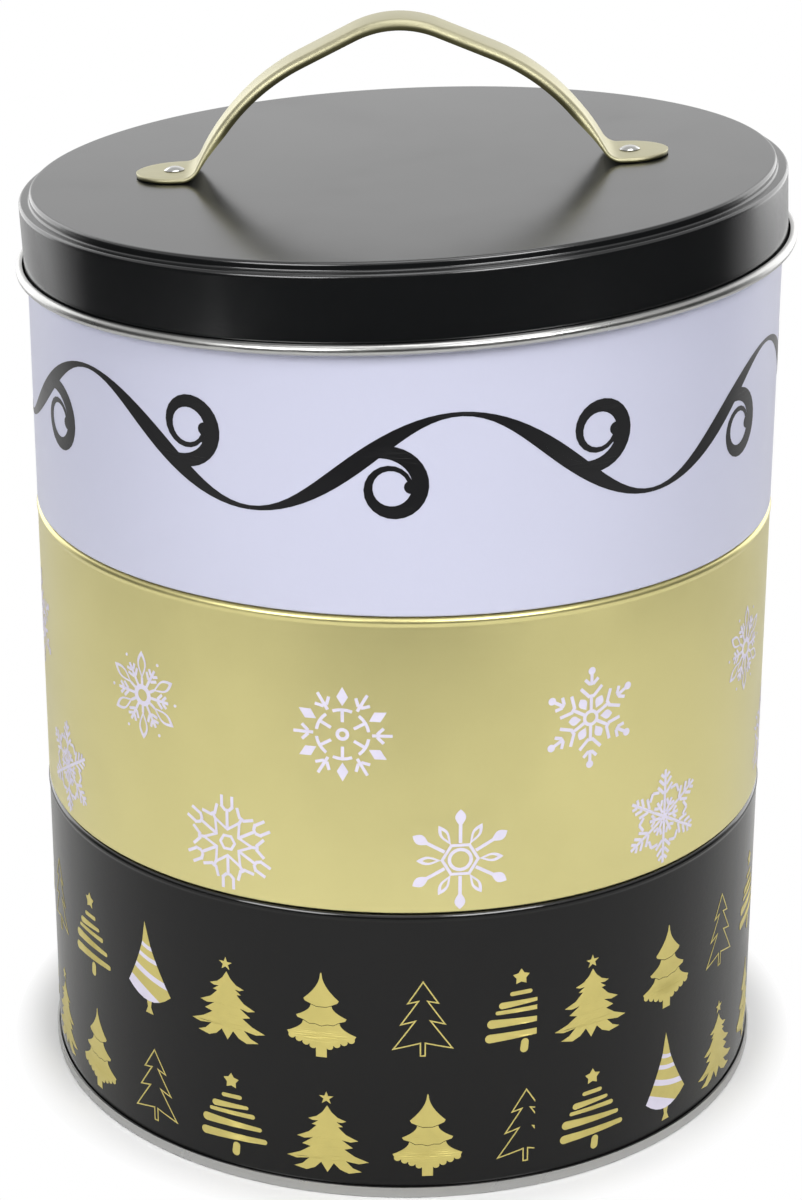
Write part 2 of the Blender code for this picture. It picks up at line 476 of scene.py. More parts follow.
def end_geometry(sheet: NodeSheet, inputs: Outputs, geometry: Socket) -> None:
    """End a Geometry Nodes tree with plain geometry in its finish.

    Args:
        sheet: The tree's nodes.
        inputs: The tree's inputs.
        geometry: What the tree has made.
    """
    dressed = {"Geometry": sheet.real(geometry), "Material": inputs["Finish"]}
    sheet.add("NodeGroupOutput", {"Geometry": sheet.out("GeometryNodeSetMaterial", dressed)})


# Shader effects that several finishes share

MARK_DETAIL, MARK_SWIRL, MARK_RANGE = 3.0, 0.6, (0.35, 0.68)
GRIT_DETAIL, GRIT_FINENESS, GRIT_FLOOR, GRIT_RANGE = 4.0, 6.0, 0.55, (0.3, 0.7)
PEEL_DETAIL = 2.0
GRAIN_DETAIL, GRAIN_DRIFT = 3.0, 0.02
CHIP_DETAIL, CHIP_RANGE = 5.0, (0.74, 0.80)


class Effect(Enum):
    """Shader node groups, each built once."""

    MARKS = "handling_marks"
    PEEL = "enamel_peel"
    TURNED = "turned_grain"
    CHIPS = "edge_chips"

    def group(self) -> NodeTree:
        """Build the effect once.

        Returns:
            Its node group.
        """
        tree = bpy.data.node_groups.get(self.value)
        if tree is None:
            tree = bpy.data.node_groups.new(self.value, "ShaderNodeTree")
            names = ("Scale", "Reach") if self is Effect.CHIPS else ("Scale",)
            sheet, inputs = declare(tree, dict.fromkeys(names, "Float"), {"Value": "Float"})
            sheet.add("NodeGroupOutput", {"Value": EFFECT_BUILDERS[self](sheet, *inputs[:len(names)])})
        return tree


def build_marks(sheet: NodeSheet, scale: Socket) -> Socket:
    """Build soft smears and finger marks.

    Args:
        sheet: The group's nodes.
        scale: Smears in a metre.

    Returns:
        A mask from 0 to 1.
    """
    place = sheet.place()
    smears = sheet.noise(place, scale, MARK_DETAIL, MARK_SWIRL)
    grit = sheet.noise(place, sheet.math("MULTIPLY", scale, GRIT_FINENESS), GRIT_DETAIL)
    soft = sheet.spread(smears, 0.0, 1.0, *MARK_RANGE)
    return sheet.math("MULTIPLY", soft, sheet.spread(grit, GRIT_FLOOR, 1.0, *GRIT_RANGE))


def build_peel(sheet: NodeSheet, scale: Socket) -> Socket:
    """Build the faint unevenness of baked enamel and return it as a height."""
    return sheet.noise(sheet.place(), scale, PEEL_DETAIL)


def build_turned(sheet: NodeSheet, scale: Socket) -> Socket:
    """Build fine lines that run round the axis, as left by spinning and rolling.

    Args:
        sheet: The group's nodes.
        scale: Lines in a metre.

    Returns:
        A height.
    """
    axes = sheet.axes(sheet.place())
    squares = [sheet.math("MULTIPLY", axes[axis], axes[axis]) for axis in "XY"]
    radius = sheet.math("SQRT", sheet.math("ADD", *squares))
    line = sheet.vector(X=radius, Y=sheet.math("MULTIPLY", axes["X"], GRAIN_DRIFT), Z=axes["Z"])
    return sheet.noise(line, scale, GRAIN_DETAIL)


def build_chips(sheet: NodeSheet, scale: Socket, reach: Socket) -> Socket:
    """Build sparse rubbed spots along the edges that the mesh marks.

    Args:
        sheet: The group's nodes.
        scale: Spots in a metre.
        reach: Added to the noise, so that more or fewer spots show.

    Returns:
        A mask from 0 to 1.
    """
    noise = sheet.noise(sheet.place(), scale, CHIP_DETAIL)
    spots = sheet.spread(sheet.math("ADD", noise, reach), 0.0, 1.0, *CHIP_RANGE)
    return sheet.math("MULTIPLY", spots, sheet.edge())


EFFECT_BUILDERS = {
    Effect.MARKS: build_marks,
    Effect.PEEL: build_peel,
    Effect.TURNED: build_turned,
    Effect.CHIPS: build_chips,
}


# Finishes


@dataclass(frozen=True)
class Finish:
    """What every finish has: a colour, a dimmer tone of it, and marks that dull it."""

    name: str
    colour: Colour
    roughness: float
    metallic: float = 0.0
    specular: float = 0.5
    mark_scale: float = 14.0
    mark_depth: float = 0.10
    tone: float = 0.94

    @property
    def dim(self) -> Colour:
        """The colour's dimmer tone."""
        return tuple(self.tone * part for part in self.colour)

    def material(self) -> bpy.types.Material:
        """Build the finish once.

        Returns:
            Its material.
        """
        material = bpy.data.materials.get(self.name)
        if material is None:
            material = bpy.data.materials.new(self.name)
            material.use_nodes = True
            sheet = NodeSheet(material.node_tree)
            marks = sheet.effect(Effect.MARKS, Scale=self.mark_scale)
            inputs = {
                "Roughness": sheet.spread(marks, self.roughness, self.roughness + self.mark_depth),
                "Metallic": self.metallic,
                "Specular IOR Level": self.specular,
            }
            inputs.update(self.inputs(sheet, marks))
            sheet.wire(material.node_tree.nodes["Principled BSDF"], inputs)
        return material

    def inputs(self, sheet: NodeSheet, marks: Socket) -> Inputs:
        """Lay out the nodes that only this kind of finish has.

        Args:
            sheet: The material's nodes.
            marks: Mask of the handling marks.

        Returns:
            Value or feeding output for each input of the shader.
        """
        raise NotImplementedError


@dataclass(frozen=True)
class Enamel(Finish):
    """Printed enamel baked on tinplate: marks in its gloss, faint peel, shinier and rubbed on its edges."""

    peel_scale: float = 900.0
    peel_height: float = 0.00002
    edge_coat: float = 1.0
    edge_gloss: float = 0.05
    chip_scale: float = 240.0
    chip_reach: float = 0.0
    bare: Colour = (0.55, 0.55, 0.53)

    def inputs(self, sheet: NodeSheet, marks: Socket) -> Inputs:
        """Lay out the enamel's nodes.

        Args:
            sheet: The material's nodes.
            marks: Mask of the handling marks.

        Returns:
            Value or feeding output for each input of the shader.
        """
        chips = sheet.effect(Effect.CHIPS, Scale=self.chip_scale, Reach=self.chip_reach)
        peel = sheet.effect(Effect.PEEL, Scale=self.peel_scale)
        return {
            "Base Color": sheet.blend(chips, sheet.blend(marks, self.colour, self.dim), self.bare),
            "Metallic": sheet.spread(chips, self.metallic, 1.0),
            "Coat Weight": sheet.spread(sheet.edge(), 0.0, self.edge_coat),
            "Coat Roughness": self.edge_gloss,
            "Normal": sheet.bump(peel, self.peel_height),
        }


@dataclass(frozen=True)
class SpunMetal(Finish):
    """Bare or plated metal with fine lines round its axis and dull patches."""

    metallic: float = 1.0
    mark_scale: float = 30.0
    tone: float = 0.86
    grain_scale: float = 2600.0
    grain_height: float = 0.00004

    def inputs(self, sheet: NodeSheet, marks: Socket) -> Inputs:
        """Lay out the metal's nodes.

        Args:
            sheet: The material's nodes.
            marks: Mask of the handling marks.

        Returns:
            Value or feeding output for each input of the shader.
        """
        grain = sheet.effect(Effect.TURNED, Scale=self.grain_scale)
        return {
            "Base Color": sheet.blend(grain, self.dim, self.colour),
            "Normal": sheet.bump(grain, self.grain_height),
        }


@dataclass(frozen=True)
class BrushedStrap(Finish):
    """Pale brass brushed along the strap, with painted shade that darkens its turned-down edges and
    underside.
    """

    metallic: float = 1.0
    mark_scale: float = 60.0
    mark_depth: float = 0.12
    tone: float = 0.88
    # Painted shade: dark olive colour laid on the strap's edges and underside.
    painted_shade_colour: Colour = (0.12, 0.113, 0.055)
    brush_scale: float = 700.0
    brush_detail: float = 4.0
    brush_length: float = 0.03
    brush_height: float = 0.00003

    def inputs(self, sheet: NodeSheet, marks: Socket) -> Inputs:
        """Lay out the brass's nodes.

        Args:
            sheet: The material's nodes.
            marks: Mask of the handling marks.

        Returns:
            Value or feeding output for each input of the shader.
        """
        along = sheet.out("ShaderNodeUVMap", uv_map=STRAP_UV)
        stretched = sheet.out("ShaderNodeMapping", {"Vector": along, "Scale": (self.brush_length, 1.0, 1.0)})
        brush = sheet.noise(stretched, self.brush_scale, self.brush_detail)
        face = sheet.blend(brush, self.dim, self.colour)
        return {
            # Painted shade: blends the brass towards a dark olive on the strap's edges and underside.
            "Base Color": sheet.blend(sheet.edge(), face, self.painted_shade_colour),
            "Normal": sheet.bump(brush, self.brush_height),
        }


@dataclass(frozen=True)
class Ink(Finish):
    """A film of printing ink with a faint mottle."""

    mark_scale: float = 120.0
    mark_depth: float = 0.06
    tone: float = 0.93

    def inputs(self, sheet: NodeSheet, marks: Socket) -> Inputs:
        """Mottle the colour with the marks and return the shader's input for it."""
        return {"Base Color": sheet.blend(marks, self.colour, self.dim)}


LID_BLACK = Enamel("lid_black_enamel", (0.0036, 0.0040, 0.0044), 0.16, specular=0.76, mark_depth=0.06,
                   peel_height=0.000006, chip_reach=-0.05)
WHITE_ENAMEL = Enamel("white_enamel", (0.575, 0.585, 0.725), 0.30, tone=0.985)
GOLD_LACQUER = Enamel("gold_lacquer", (0.69, 0.628, 0.285), 0.30, metallic=0.90, tone=0.96,
                      peel_height=0.000008, edge_coat=0.2)
BLACK_ENAMEL = Enamel("black_enamel", (0.006, 0.006, 0.006), 0.14, specular=0.22)
TINPLATE = SpunMetal("bare_tinplate", (0.48, 0.48, 0.47), 0.26)
BRASS = BrushedStrap("pale_brass", (0.575, 0.545, 0.37), 0.40)
RIVET_STEEL = SpunMetal("rivet_steel", (0.82, 0.76, 0.70), 0.42, metallic=0.5, tone=0.95,
                        grain_height=0.00001)
BLACK_INK = Ink("black_ink", (0.006, 0.006, 0.007), 0.30, specular=0.35)
LILAC_INK = Ink("lilac_white_ink", (0.72, 0.68, 0.82), 0.40)
GOLD_INK = Ink("gold_ink", (0.62, 0.53, 0.17), 0.38, metallic=0.55)


# Tins and lid


@dataclass(frozen=True)
class Stock:
    """Sheet, clearances and facets that the tins and the lid share."""

    sheet: float = 0.0005
    seat_gap: float = 0.0003
    seam_gap: float = 0.00035
    plug_gap: float = 0.0004
    rim_curl: float = 0.0013
    rim_bulge: float = 0.00025
    turn_steps: int = 240
    corner_steps: int = 6
    curl_steps: int = 22
    worn_steps: int = 18

    @property
    def rim_radius(self) -> float:
        """Outer radius of a rolled rim, from the bottom tin's solid."""
        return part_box("bottom_tin_wall")[1].x

    @property
    def wall_radius(self) -> float:
        """Outer radius of a wall."""
        return self.rim_radius - self.rim_bulge

    @property
    def seam_proud(self) -> float:
        """How far a base seam stands out from the wall that it grips."""
        return self.sheet + self.seam_gap

    @property
    def neck_radius(self) -> float:
        """Outer radius of a neck that plugs into the tin below."""
        return self.rim_radius - 2 * self.rim_curl - self.plug_gap - self.seam_proud

    def turned(self, path: Loop, outside: Finish, edges: Sequence[float] = ()) -> Mesh:
        """Turn the sheet round Z.

        Args:
            path: (radius, height) points of the sheet's outer face, the sheet on the right of its travel.
            outside: Finish of that face. The other one is bare.
            edges: Share of edge wear at the first points of the path.

        Returns:
            A closed mesh.
        """
        path = braced(path)
        outline = path + offset_path(path, self.sheet)[::-1]
        mesh = turned_mesh(outline, len(path), self.turn_steps, edges)
        mesh.materials.append(outside.material())
        mesh.materials.append(TINPLATE.material())
        return mesh


STOCK = Stock()


@dataclass
class Tin:
    """One round tin: a rolled wall with a curled rim, and a base seamed on to it."""

    body: str
    paint: Finish
    slot: str
    below: str | None = None
    shoulder_rounding: float = 0.0007
    neck_rounding: float = 0.0006
    neck_depth: float = 0.0055
    seam_height: float = 0.0032
    seam_rounding: float = 0.0006
    base_sink: float = 0.0030
    base_rounding: float = 0.0009
    hidden_curl: float = math.radians(265)
    rim_top: float = field(init=False)
    foot: float = field(init=False)

    def __post_init__(self) -> None:
        """Read the tin's place from its solids."""
        self.rim_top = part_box(f"{self.body}_wall")[1].z
        self.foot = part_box(f"{self.below}_wall")[1].z + STOCK.seat_gap if self.below else 0.0

    def wall_path(self) -> Loop:
        """Follow the wall's outer face from the rim curl's hidden end, over its top and down.

        Returns:
            (radius, height) points.
        """
        middle = STOCK.rim_radius - STOCK.rim_curl
        leave = math.acos((STOCK.wall_radius - middle) / STOCK.rim_curl)
        centre = Vector((middle, self.rim_top - STOCK.rim_curl))
        rim = arc(centre, STOCK.rim_curl, self.hidden_curl, -leave - self.hidden_curl, STOCK.curl_steps)
        if self.below is None:
            return rim + [Vector((STOCK.wall_radius, STOCK.seam_proud))]
        corners = [rim[-1], (STOCK.wall_radius, self.foot), (STOCK.neck_radius, self.foot),
                   (STOCK.neck_radius, self.foot - self.neck_depth + STOCK.seam_proud)]
        roundings = [self.shoulder_rounding, self.neck_rounding]
        return rim[:-1] + rounded_path(corners, roundings, STOCK.corner_steps)

    def base_path(self) -> Loop:
        """Follow the base's outer face from the seam's upper edge to the middle of the panel.

        Returns:
            (radius, height) points.
        """
        grip = STOCK.neck_radius if self.below else STOCK.wall_radius
        floor = self.foot - self.neck_depth if self.below else self.foot
        outside = grip + STOCK.seam_proud
        inside = grip - 2 * STOCK.sheet - STOCK.seam_gap
        corners = [(outside, floor + self.seam_height), (outside, floor), (inside, floor),
                   (inside, floor + self.base_sink), (0.0, floor + self.base_sink)]
        roundings = [self.seam_rounding, self.seam_rounding, self.base_rounding]
        return rounded_path(corners, roundings, STOCK.corner_steps)

    def build(self) -> None:
        """Build the wall, printed outside and bare inside, and the bare base with its double seam."""
        wall = STOCK.turned(self.wall_path(), self.paint, [1.0] * STOCK.worn_steps)
        add_piece(f"{self.body}_printed_wall", wall, self.body, [f"{self.body}_wall"])
        base = STOCK.turned(self.base_path(), TINPLATE)
        add_piece(f"{self.body}_seamed_base", base, self.body, [f"{self.body}_base"])


@dataclass
class Lid:
    """The slip-on lid: panel, step, ledge, skirt and outward curl, with the ledge's underside at 0."""

    body: str = "lid"
    play: float = 0.0004
    depth: float = 0.0189
    curl_radius: float = 0.0014
    curl_turn: float = math.radians(285)
    ledge_width: float = 0.0029
    panel_rise: float = 0.0022
    panel_rounding: float = 0.0009
    ledge_rounding: float = 0.0006
    corner_rounding: float = 0.0009
    panel_steps: int = 8
    level: float = 0.98

    @property
    def panel_top(self) -> float:
        """Height of the panel's upper face."""
        return STOCK.sheet + self.panel_rise

    def place(self) -> Matrix:
        """Read the leaning lid's own frame from its solid.

        Returns:
            The matrix from the lid's frame to the row frame.
        """
        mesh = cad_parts["lid_shell"].data
        flat = [polygon for polygon in mesh.polygons if polygon.normal.z > self.level]
        up = sum((polygon.normal * polygon.area for polygon in flat), Vector()).normalized()
        turn = Vector((0.0, 0.0, 1.0)).rotation_difference(up).to_matrix()
        points = [turn.transposed() @ vertex.co for vertex in mesh.vertices]
        middle = [(min(axis) + max(axis)) / 2 for axis in zip(*points)]
        top = max(point.z for point in points)
        origin = turn @ Vector((middle[0], middle[1], top - self.panel_top))
        return Matrix.Translation(origin) @ turn.to_4x4()

    def add(self, name: str, mesh: Mesh, slot: str, *nodes: str) -> None:
        """Put a mesh of the lid's frame on the lid.

        Args:
            name: Name of the piece.
            mesh: Its mesh.
            slot: Not used.
            nodes: CAD nodes that it stands for.
        """
        mesh.transform(self.place())
        add_piece(name, mesh, self.body, nodes)

    def path(self) -> Loop:
        """Follow the lid's outer face from the middle of the panel to the end of the curl.

        Returns:
            (radius, height) points.
        """
        inner = STOCK.rim_radius + self.play
        skirt = inner + STOCK.sheet
        step = skirt - self.ledge_width
        curl_height = self.curl_radius - self.depth
        corners = [(0.0, self.panel_top), (step, self.panel_top), (step, STOCK.sheet), (skirt, STOCK.sheet),
                   (skirt, curl_height)]
        roundings = [self.panel_rounding, self.ledge_rounding, self.corner_rounding]
        shell = rounded_path(corners, roundings, STOCK.corner_steps)
        panel = [shell[0].lerp(shell[1], part / self.panel_steps) for part in range(self.panel_steps)]
        centre = Vector((inner + self.curl_radius, curl_height))
        curl = arc(centre, self.curl_radius - STOCK.sheet, math.pi, self.curl_turn, STOCK.curl_steps)
        return panel + shell[1:-1] + curl

    def build(self) -> None:
        """Build the shell, black outside with a bare curl and a bare inside."""
        self.add("lid_drawn_shell", STOCK.turned(self.path(), LID_BLACK), "lid_black", "lid_shell")


# Handle and rivets


@dataclass
class StrapHandle:
    """The pressed strap handle: flat rounded feet, a bow with turned-down edges."""

    lid: Lid
    sheet: float = 0.0009
    width: float = 0.0150
    edge: float = 0.0028
    corner: float = 0.0020
    foot_corner: float = 0.0008
    least_hollow: float = 0.00005
    wall_share: float = 0.2
    corner_share: float = 0.4
    hollow_share: float = 0.5
    # How fast the painted shade on the strap's outer corner fades towards the top face.
    painted_shade_falloff: float = 1.8
    crown: float = 0.0002
    foot_width: float = 0.0215
    foot_edge: float = 0.0010
    foot_end: float = 0.0115
    flare: float = 0.0150
    length: float = 0.1404
    foot_run: float = 0.0152
    bend_radius: float = 0.0045
    shoulder_span: float = 0.0861
    shoulder_rise: float = 0.0215
    bow_radius: float = 0.0580
    peak_rise: float = 0.0410
    crest_radius: float = 0.0280
    bow_steps: int = 22
    end_steps: int = 16
    end_start: float = 0.15
    corner_steps: int = 8
    top_steps: int = 8

    @property
    def foot_top(self) -> float:
        """Height of the feet's upper face in the lid's frame."""
        return self.lid.panel_top + STOCK.seat_gap + self.foot_edge

    def stations(self) -> Loop:
        """Follow the strap's top face from tip to tip.

        Returns:
            (x, height) points.
        """
        tip = self.length / 2
        right = [(self.shoulder_span / 2, self.shoulder_rise), (tip - self.foot_run, 0.0), (tip, 0.0)]
        left = [(-x, height) for x, height in reversed(right)]
        radii = [self.bend_radius, self.bow_radius, self.crest_radius, self.bow_radius, self.bend_radius]
        bow = rounded_path(left + [(0.0, self.peak_rise)] + right, radii, self.bow_steps)[1:-1]
        steps = reversed(range(self.end_steps))
        turns = [QUARTER * (step + self.end_start) / self.end_steps for step in steps]
        end = [Vector((tip - self.foot_end * (1 - math.cos(turn)), 0.0)) for turn in turns]
        return flipped(end) + bow + end

    def section(self, from_tip: float) -> list[tuple[Vector, float]]:
        """Return the strap's section.

        Args:
            from_tip: Distance along the strap from the nearer tip.

        Returns:
            Points across and up from the top face, each with its share of painted shade.
        """
        share = ease((from_tip - self.foot_run) / self.flare)
        half = (self.foot_width + (self.width - self.foot_width) * share) / 2
        if from_tip < self.foot_end:
            half *= math.sqrt(1 - (1 - from_tip / self.foot_end) ** 2)
        edge = self.foot_edge + (self.edge - self.foot_edge) * share
        wall = max(half - self.sheet, half * self.wall_share)
        corner = min(self.foot_corner + (self.corner - self.foot_corner) * share, half * self.corner_share)
        hollow = min(max(corner - self.sheet, self.least_hollow), wall * self.hollow_share)
        middle = Vector((wall - hollow, -self.sheet - hollow))
        inner = arc(middle, hollow, QUARTER, -QUARTER, self.corner_steps)
        flat = half - corner
        outer = arc(Vector((flat, -corner)), corner, 0.0, QUARTER, self.corner_steps)
        # Painted shade: the underside hollow and side walls are fully darkened, and the outer corner darkens
        # towards its lower end.
        right = [(point, 1.0) for point in inner + [Vector((wall, -edge)), Vector((half, -edge))]]
        for step, point in enumerate(outer):
            right.append((point, (1.0 - step / self.corner_steps) ** self.painted_shade_falloff))
        left = [(Vector((-point.x, point.y)), dark) for point, dark in reversed(right)]
        top = []
        for step in range(1, self.top_steps):
            across = 1 - 2 * step / self.top_steps
            top.append((Vector((flat * across, self.crown * share * (1 - across * across))), 0.0))
        return right + top + left

    def build(self) -> None:
        """Sweep the section along the bow, with a brushing direction on its UV map."""
        stations = self.stations()
        travelled = [0.0]
        for before, after in pairwise(stations):
            travelled.append(travelled[-1] + (after - before).length)
        inset = self.length / 2 - stations[-1].x
        bm = bmesh.new()
        # Painted shade: each vertex holds its share of darkening towards the brass's painted shade colour.
        dark = bm.verts.layers.float.new(EDGE_ATTRIBUTE)
        brush = bm.loops.layers.uv.new(STRAP_UV)
        rings = []
        for index, station in enumerate(stations):
            along = stations[min(index + 1, len(stations) - 1)] - stations[max(index - 1, 0)]
            up = Vector((-along.y, along.x)).normalized()
            from_tip = inset + min(travelled[index], travelled[-1] - travelled[index])
            ring = []
            for point, shade in self.section(from_tip):
                place = station + up * point.y
                vert = bm.verts.new((place.x, point.x, self.foot_top + place.y))
                vert[dark] = shade
                ring.append(vert)
            rings.append(ring)
        for row, (ring, following) in enumerate(pairwise(rings)):
            for corner in range(len(ring)):
                corners = (ring[corner - 1], ring[corner], following[corner], following[corner - 1])
                for loop in bm.faces.new(corners).loops:
                    reach = travelled[row if loop.vert in ring else row + 1]
                    loop[brush].uv = (reach, loop.vert.co.y)
        bm.faces.new(rings[0])
        bm.faces.new(rings[-1][::-1])
        mesh = finished_mesh(bm)
        mesh.materials.append(BRASS.material())
        self.lid.add("lid_strap_handle", mesh, "handle_brass", "lid_handle")


@dataclass
class RivetPair:
    """Two dome-headed rivets through the feet and the lid panel."""

    handle: StrapHandle
    inset: float = 0.0101
    gap: float = 0.0002
    shank: float = 0.0016
    head: float = 0.0027
    dome: float = 0.0009
    tail: float = 0.0024
    tail_height: float = 0.0009
    dome_steps: int = 9
    turn_steps: int = 40

    def outline(self) -> Loop:
        """Follow the outline of one rivet from the top of its dome.

        Returns:
            (radius, height) points.
        """
        head = self.handle.foot_top + self.gap
        tail = self.handle.lid.panel_top - STOCK.sheet - self.gap
        end = tail - self.tail_height
        dome_radius = (self.head ** 2 + self.dome ** 2) / (2 * self.dome)
        half = math.asin(self.head / dome_radius)
        centre = Vector((0.0, head + self.dome - dome_radius))
        dome = arc(centre, dome_radius, QUARTER, -half, self.dome_steps)
        dome[0].x = 0.0
        shank = [(self.shank, head), (self.shank, tail), (self.tail, tail),
                 (self.tail, tail - self.tail_height / 2), (self.shank, end), (0.0, end)]
        return dome + [Vector(point) for point in shank]

    def tree(self) -> NodeTree:
        """Build the Geometry Nodes tree that sets a rivet at each end of a line.

        Returns:
            The tree.
        """
        tree = bpy.data.node_groups.new("rivet_pair", "GeometryNodeTree")
        sockets = {"Geometry": "Geometry", "Spacing": "Float", "Finish": "Material"}
        sheet, inputs = declare(tree, sockets, {"Geometry": "Geometry"})
        start = sheet.vector(X=sheet.math("DIVIDE", inputs["Spacing"], -2.0))
        step = sheet.vector(X=inputs["Spacing"])
        line = sheet.out("GeometryNodeMeshLine", {"Count": 2, "Start Location": start, "Offset": step})
        copies = {"Points": line, "Instance": inputs["Geometry"]}
        end_geometry(sheet, inputs, sheet.out("GeometryNodeInstanceOnPoints", copies))
        return tree

    def build(self) -> None:
        """Build both rivets as one piece."""
        outline = self.outline()
        rivet = turned_mesh(outline, len(outline), self.turn_steps)
        spacing = self.handle.length - 2 * self.inset
        pair = grown(rivet, self.tree(), {"Spacing": spacing}, RIVET_STEEL)
        self.handle.lid.add("handle_rivets", pair, "rivet_steel", "rivet_left", "rivet_right")


# Flat art for the prints

LAYER = 0.000008
LAYERS = 4
DOT_STEPS = 14
STROKE_END_STEPS = 8
STAR_POINTS = 5


@dataclass
class Shape:
    """A flat patch of ink."""

    outer: Loop
    holes: list[Loop] = field(default_factory=list)

    def moved(self, move: Callable[[Vector], Vector]) -> "Shape":
        """Return the patch with every point moved."""
        holes = [[move(point) for point in hole] for hole in self.holes]
        return Shape([move(point) for point in self.outer], holes)

    def turned(self, angle: float) -> "Shape":
        """Return the patch turned about the origin."""
        turn = Matrix.Rotation(angle, 2)
        return self.moved(lambda point: turn @ point)

    def scaled(self, factor: float) -> "Shape":
        """Return the patch at another size."""
        return self.moved(lambda point: point * factor)

    def cut(self, limit: float) -> "Shape":
        """Cut a patch without holes.

        Args:
            limit: Where the cut is along X.

        Returns:
            What is left on the left of the cut.
        """
        kept = []
        for before, point in zip(self.outer[-1:] + self.outer[:-1], self.outer):
            if (before.x > limit) != (point.x > limit):
                kept.append(before.lerp(point, (limit - before.x) / (point.x - before.x)))
            if point.x <= limit:
                kept.append(point)
        return Shape(kept)


def flat_mesh(shapes: Sequence[Shape]) -> Mesh:
    """Fill flat patches with triangles that face +Z, each patch a little over the one before.

    Args:
        shapes: The patches.

    Returns:
        A mesh along the XY plane.
    """
    bm = bmesh.new()
    for index, shape in enumerate(shapes):
        lift = Vector((0.0, 0.0, index % LAYERS * LAYER))
        loops = [[point.to_3d() + lift for point in loop] for loop in (shape.outer, *shape.holes)]
        verts = [bm.verts.new(point) for loop in loops for point in loop]
        for triangle in tessellate_polygon(loops):
            corners = [verts[number] for number in triangle]
            first, second, third = (corner.co for corner in corners)
            if (second - first).cross(third - first).z < 0:
                corners.reverse()
            bm.faces.new(corners)
    return plain_mesh(bm)


def bar(start: Point, end: Point, half: float) -> Shape:
    """Return a straight stroke.

    Args:
        start: First point.
        end: Last point.
        half: Half of the width.

    Returns:
        The stroke.
    """
    first, last = Vector(start), Vector(end)
    side = (last - first).normalized().orthogonal() * half
    return Shape([first + side, first - side, last - side, last + side])


def brush_stroke(start: Point, end: Point, half: float, taper: float) -> Shape:
    """Return a stroke with round ends.

    Args:
        start: First point.
        end: Last point.
        half: Half of the width at the first point.
        taper: Share of that width at the last point.

    Returns:
        The stroke.
    """
    first, last = Vector(start), Vector(end)
    angle = math.atan2(last.y - first.y, last.x - first.x)
    tail = arc(first, half, angle + QUARTER, math.pi, STROKE_END_STEPS)
    return Shape(tail + arc(last, half * taper, angle - QUARTER, math.pi, STROKE_END_STEPS))


def dot(centre: Point, radius: float) -> Shape:
    """Return a round spot."""
    return Shape(arc(Vector(centre), radius, 0.0, math.tau, DOT_STEPS)[:-1])


def star(centre: Point, reach: float, waist: float) -> Shape:
    """Return a star with one of its points up.

    Args:
        centre: Middle of the star.
        reach: Radius of its points.
        waist: Share of that radius between the points.

    Returns:
        The star.
    """
    radii = [reach, reach * waist] * STAR_POINTS
    part = math.pi / STAR_POINTS
    points = [heading(QUARTER + step * part, radius) for step, radius in enumerate(radii)]
    return Shape([Vector(centre) + point for point in points])


# Snow crystals, each drawn as one sixth with its arm along +Y and the arm's tip at 1

SIXTH = math.pi / 3
FLAKE_LINE = 0.032
RIM_STEPS = 4
LEAF_STEPS = 8
LEAF_BELLY = 1.25
LOOP_ROOT, LOOP_TIP = 2.0, 2.4


def stem(low: float, high: float) -> list[Shape]:
    """Return a stroke along the arm."""
    return [bar((0.0, low), (0.0, high), FLAKE_LINE)]


def pair(root_x: float, root_y: float, tip_x: float, tip_y: float) -> list[Shape]:
    """Return a stroke on each side of the arm."""
    return [bar((side * root_x, root_y), (side * tip_x, tip_y), FLAKE_LINE) for side in SIDES]


def twigs(at: float, reach: float) -> list[Shape]:
    """Return a pair of side twigs of some length that leave the arm at a height."""
    lean = reach * math.sin(math.pi / 4)
    return pair(FLAKE_LINE, at, FLAKE_LINE + lean, at + lean)


def knob(at: float, radius: float) -> list[Shape]:
    """Return a dot on the arm."""
    return [dot((0.0, at), radius)]


def leaf(root: float, tip: float, half: float, line: float = 0.0) -> list[Shape]:
    """Draw a leaf on the arm.

    Args:
        root: Height of its lower end.
        tip: Height of its upper end.
        half: Half of its width.
        line: Width of its outline, or 0 for a solid leaf.

    Returns:
        The leaf.
    """
    loops = []
    for inset in (0.0, line) if line else (0.0,):
        low, high = root + LOOP_ROOT * inset, tip - LOOP_TIP * inset
        right = []
        for share in (step / LEAF_STEPS for step in range(LEAF_STEPS + 1)):
            across = (half - inset) * math.sin(math.pi * share ** LEAF_BELLY)
            right.append(Vector((across, low + (high - low) * share)))
        loops.append(right + flipped(right[1:-1]))
    return [Shape(loops[0], loops[1:])]


def lozenge(low: float, middle: float, high: float, half: float) -> list[Shape]:
    """Return a solid lozenge on the arm."""
    return [Shape([Vector(point) for point in ((0.0, low), (half, middle), (0.0, high), (-half, middle))])]


def rim(radius: float, half: float = FLAKE_LINE, share: float = 0.5) -> list[Shape]:
    """Return a share of a third of a ring.

    Args:
        radius: Middle radius.
        half: Half of the line's width.
        share: How much of the third is drawn.

    Returns:
        The line.
    """
    sweep = 2 * SIXTH * share
    start = (math.pi - sweep) / 2
    middle = Vector((0.0, 0.0))
    outer = arc(middle, radius + half, start, sweep, RIM_STEPS)
    return [Shape(outer + arc(middle, radius - half, start + sweep, -sweep, RIM_STEPS))]


def ring_side(radius: float, top: float = 0.0) -> list[Shape]:
    """Draw one side of a hexagon, or one point of a star.

    Args:
        radius: Middle radius of the corners between the arms.
        top: Height of the star's point on the arm, or 0 for a straight side.

    Returns:
        The line.
    """
    lines = []
    for half in (FLAKE_LINE, -FLAKE_LINE):
        middle = [Vector((0.0, top + 2 * half))] if top else []
        lines.append([heading(SIXTH, radius + half), *middle, heading(2 * SIXTH, radius + half)])
    return [Shape(lines[0] + lines[1][::-1])]


